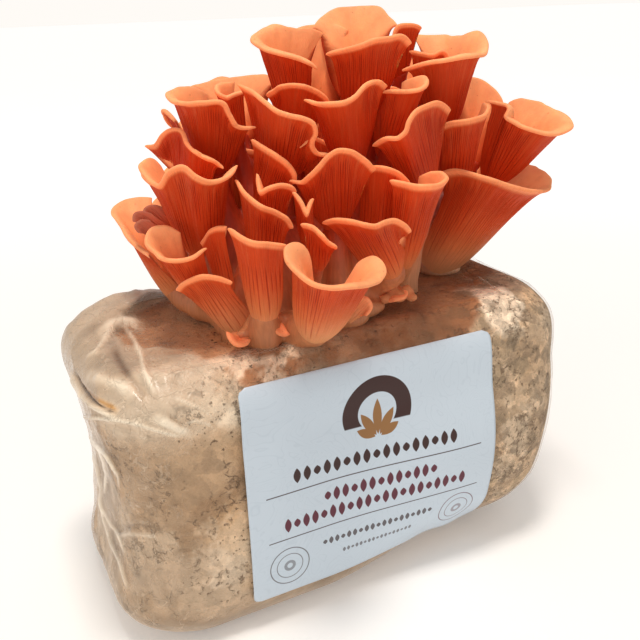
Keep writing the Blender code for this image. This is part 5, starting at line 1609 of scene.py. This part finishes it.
def label_material():
    """Coated paper: pale blue with faint wandering lines, a dark arch over tan leaves, rows of dark and
    maroon ornaments between thin rules, and two ringed marks near the lower corners."""
    ring, bar, leaf, row = ring_group(), bar_group(), leaf_group(), row_group()
    material, tree, shader = start_material("coated paper", Roughness=0.45, Specular_IOR_Level=0.35)
    to_mm = (1.0 / PLACE_SCALE, 1.0 / PLACE_SCALE, 0.0)
    place = add(tree, "ShaderNodeVectorMath", {0: surface_place(tree), 1: to_mm}, operation="MULTIPLY")
    place = place.outputs[0]
    wander = calc(tree, "MULTIPLY", cloud(tree, place, 0.042, distortion=1.3), 16.0)
    bands = calc(tree, "SUBTRACT", calc(tree, "FRACT", wander), 0.5)
    thin = between(tree, calc(tree, "ABSOLUTE", bands), 0.0, 0.13, 1.0, 0.0)
    colour = mix(tree, calc(tree, "MULTIPLY", thin, 0.4), PAPER, PAPER_LINE)

    def marked(group, middle, **sizes):
        """Where a mark is, from its middle across and up in millimetres and its sizes."""
        return use_group(tree, group, {"Place": place, "Middle": (*middle, 0.0), **sizes})["Mask"]

    def inked(colour, ink, mask, strength=1.0):
        """A colour with ink over it inside a mask."""
        return mix(tree, calc(tree, "MULTIPLY", mask, strength), colour, ink)

    arch = marked(ring, (60.0, 77.0), Radius=12.6, Line=7.2)
    above = between(tree, parts_of(tree, place)[1], 71.5, 72.1)
    colour = mix(tree, calc(tree, "MULTIPLY", arch, above), colour, DARK_INK)
    for turn, length in ((90.0, 16.5), (58.0, 13.0), (122.0, 13.0), (28.0, 9.5), (152.0, 9.5)):
        angle = np.radians(turn)
        reach = 1.5 + length / 2.0
        middle = (60.0 + reach * np.cos(angle), 65.0 + reach * np.sin(angle))
        colour = inked(colour, TAN_INK, marked(leaf, middle, Turn=float(-angle), Length=length, Width=4.2))
    for middle, width, height, pitch, ink, strength in (
            ((59.0, 57.5), 78.2, 7.0, 4.6, DARK_INK, 1.0), ((61.0, 43.5), 54.6, 6.8, 4.2, MAROON_INK, 1.0),
            ((59.0, 35.0), 88.2, 6.8, 4.2, MAROON_INK, 1.0), ((60.0, 20.5), 55.1, 3.8, 2.9, DARK_INK, 0.85),
            ((60.0, 13.0), 35.7, 2.4, 2.1, DARK_INK, 0.7)):
        mask = marked(row, middle, Width=width, Height=height, Pitch=pitch)
        colour = inked(colour, ink, mask, strength)
    for middle, height in (((59.0, 50.5), 0.55), ((59.0, 28.5), 0.5)):
        colour = inked(colour, DARK_INK, marked(bar, middle, Width=102.0, Height=height), 0.9)
    for middle, ink in (((17.0, 14.5), DARK_INK), ((101.0, 16.0), MAROON_INK)):
        for radius, line, strength in ((9.0, 0.5, 0.75), (6.0, 0.4, 0.7), (2.0, 1.4, 0.55)):
            colour = inked(colour, ink, marked(ring, middle, Radius=radius, Line=line), strength)
    tree.links.new(colour, shader.inputs["Base Color"])
    roughen(tree, shader, cloud(tree, place, 0.16, 3.0), 0.12, 0.001)
    return material


# Studio

# Where the lights aim in millimetres, the room's light on things and the more that is seen, and the floor
LIGHT_AIM = np.array([5.0, 0.0, 110.0])
ROOM_COLOUR = (1.0, 0.965, 0.92, 1.0)
ROOM_LIGHT, ROOM_SEEN = 0.58, 0.42
KEY_POWER, FILL_POWER = 6.9, 2.4
KEY_COLOUR, FILL_COLOUR = (1.0, 0.94, 0.86), (1.0, 0.96, 0.90)
FLOOR_STOPS = ((0.0, (0.88, 0.87, 0.86)), (1.0, (0.92, 0.915, 0.91)))
FLOOR_SIDE, FLOOR_DROP = 30.0, 0.0003


def turned_to(columns, place):
    """A matrix that turns the three axes to given directions and moves them to a place in metres."""
    turn = np.eye(4)
    turn[:3, :3] = np.stack(columns, axis=1)
    turn[:3, 3] = place
    return Matrix(turn.tolist())


def place_camera():
    """The photograph's eye: its axes as the camera's, and the focal length for a square picture."""
    right, down, forward = view_axes()
    lens = bpy.data.cameras.new("photo camera")
    lens.sensor_width = SENSOR_MM
    lens.lens = SENSOR_MM * FOCAL_PX / PICTURE_SIDE
    camera = bpy.data.objects.new("photo camera", lens)
    camera.matrix_world = turned_to((right, -down, -forward), EYE * MM)
    bpy.context.scene.collection.objects.link(camera)
    bpy.context.scene.camera = camera


def place_light(name, direction, distance, size, power, colour):
    """A soft square light in a direction given across, near and up from the object's middle."""
    aim = LIGHT_AIM * MM
    way = unit(direction[0] * ACROSS + direction[1] * NEAR + direction[2] * UP)
    lamp = bpy.data.lights.new(name, "AREA")
    lamp.shape = "SQUARE"
    lamp.size = size
    lamp.energy = power
    lamp.color = colour
    holder = bpy.data.objects.new(name, lamp)
    side = unit(np.cross(UP, way))
    holder.matrix_world = turned_to((side, np.cross(way, side), way), aim + distance * way)
    bpy.context.scene.collection.objects.link(holder)


def make_room():
    """A pale room: two soft lights and a plain world that looks brighter than it shines."""
    scene = bpy.context.scene
    scene.view_settings.view_transform = "Standard"
    scene.world = bpy.data.worlds.new("pale room")
    scene.world.use_nodes = True
    tree = scene.world.node_tree
    background = tree.nodes["Background"]
    background.inputs["Color"].default_value = ROOM_COLOUR
    seen = add(tree, "ShaderNodeLightPath").outputs["Is Camera Ray"]
    tree.links.new(calc(tree, "MULTIPLY_ADD", seen, ROOM_SEEN, ROOM_LIGHT), background.inputs["Strength"])
    place_light("key", (0.02, 0.14, 1.0), 1.1, 0.22, KEY_POWER, KEY_COLOUR)
    place_light("fill", (-0.7, 0.8, 0.4), 1.3, 0.9, FILL_POWER, FILL_COLOUR)


def floor_material():
    """Pale grey with a faint glow, stronger far from the object, so that it meets the room's colour."""
    material, tree, shader = start_material("pale floor", Roughness=0.8, Emission_Strength=1.0)
    where = object_place(tree)
    away = add(tree, "ShaderNodeVectorMath", {0: where}, operation="LENGTH").outputs["Value"]
    far = between(tree, away, 0.15, 1.2)
    seen = add(tree, "ShaderNodeLightPath").outputs["Is Camera Ray"]
    glow = calc(tree, "MULTIPLY_ADD", calc(tree, "MULTIPLY", far, seen), 0.35, 0.15)
    tree.links.new(grey(tree, glow, glow), shader.inputs["Emission Color"])
    tree.links.new(ramp(tree, cloud(tree, where, 3.0), FLOOR_STOPS), shader.inputs["Base Color"])
    return material


def make_floor():
    """One flat quad just under the resting face."""
    corners = FLOOR_SIDE * np.array([(-1, -1, 0), (1, -1, 0), (1, 1, 0), (-1, 1, 0)]) - FLOOR_DROP * UP
    mesh = bpy.data.meshes.new("floor")
    mesh.from_pydata(corners.tolist(), [], [(0, 1, 2, 3)])
    mesh.materials.append(floor_material())
    floor = bpy.data.objects.new("floor", mesh)
    bpy.context.scene.collection.objects.link(floor)


# The whole kit


def make_cluster():
    """Every fruit body and fold, and the stems and nubs that they grow from."""
    flesh = flesh_material("oyster flesh", GILL_STOPS, UPPER_STOPS, GILL_BAND, 0.36)
    young = flesh_material("young flesh", YOUNG_STOPS, YOUNG_STOPS, YOUNG_BAND, 0.85)
    dark_fold_flesh = flesh_material("dark fold flesh", DARK_FOLD_STOPS, DARK_FOLD_STOPS, DARK_FOLD_BAND, 0.7)
    stem = stem_material()
    fans = [seen_fan(cap) for cap in SEEN_CAPS] + [hidden_fan(cap) for cap in HIDDEN_CAPS]
    pins = [seen_fan(pin) for pin in PINS]
    for number, fan in enumerate(fans):
        make_fruit(fan, number, flesh, "flesh")
    for number, fan in enumerate(pins):
        make_fruit(fan, YOUNG_SEED + number, young, "young_flesh")
    for number, fold in enumerate(INNER_FOLDS):
        make_fold(seen_fan(fold), INNER_SEED + number, flesh, "flesh")
    for number, fold in enumerate(DARK_FOLDS):
        make_fold(seen_fan(fold), DARK_FOLD_SEED + number, dark_fold_flesh, "young_flesh")
    right = [fan for fan in fans if fan.name in RIGHT_CAPS]
    main_fans = [fan for fan in fans + pins if fan.name not in RIGHT_CAPS]
    for name, cluster, own, knobs in (("main_stems", MAIN_CLUSTER, main_fans, STEM_KNOBS[:-1]),
                                      ("right_stems", RIGHT_CLUSTER, right, STEM_KNOBS[-1:])):
        mesh = grown_together(name, stem_parts(cluster, own) + knob_parts(knobs), STEM_VOXEL, 4)
        place_piece(name, mesh, stem, "stem", cluster.name)
    place_piece("nubs", grown_together("nubs", knob_parts(NUBS), NUB_VOXEL, 3), young, "young_flesh")


def main():
    place_camera()
    make_room()
    make_floor()
    make_cluster()
    make_block_piece(block_material())
    make_film(film_material())
    make_label_piece(label_material())


main()
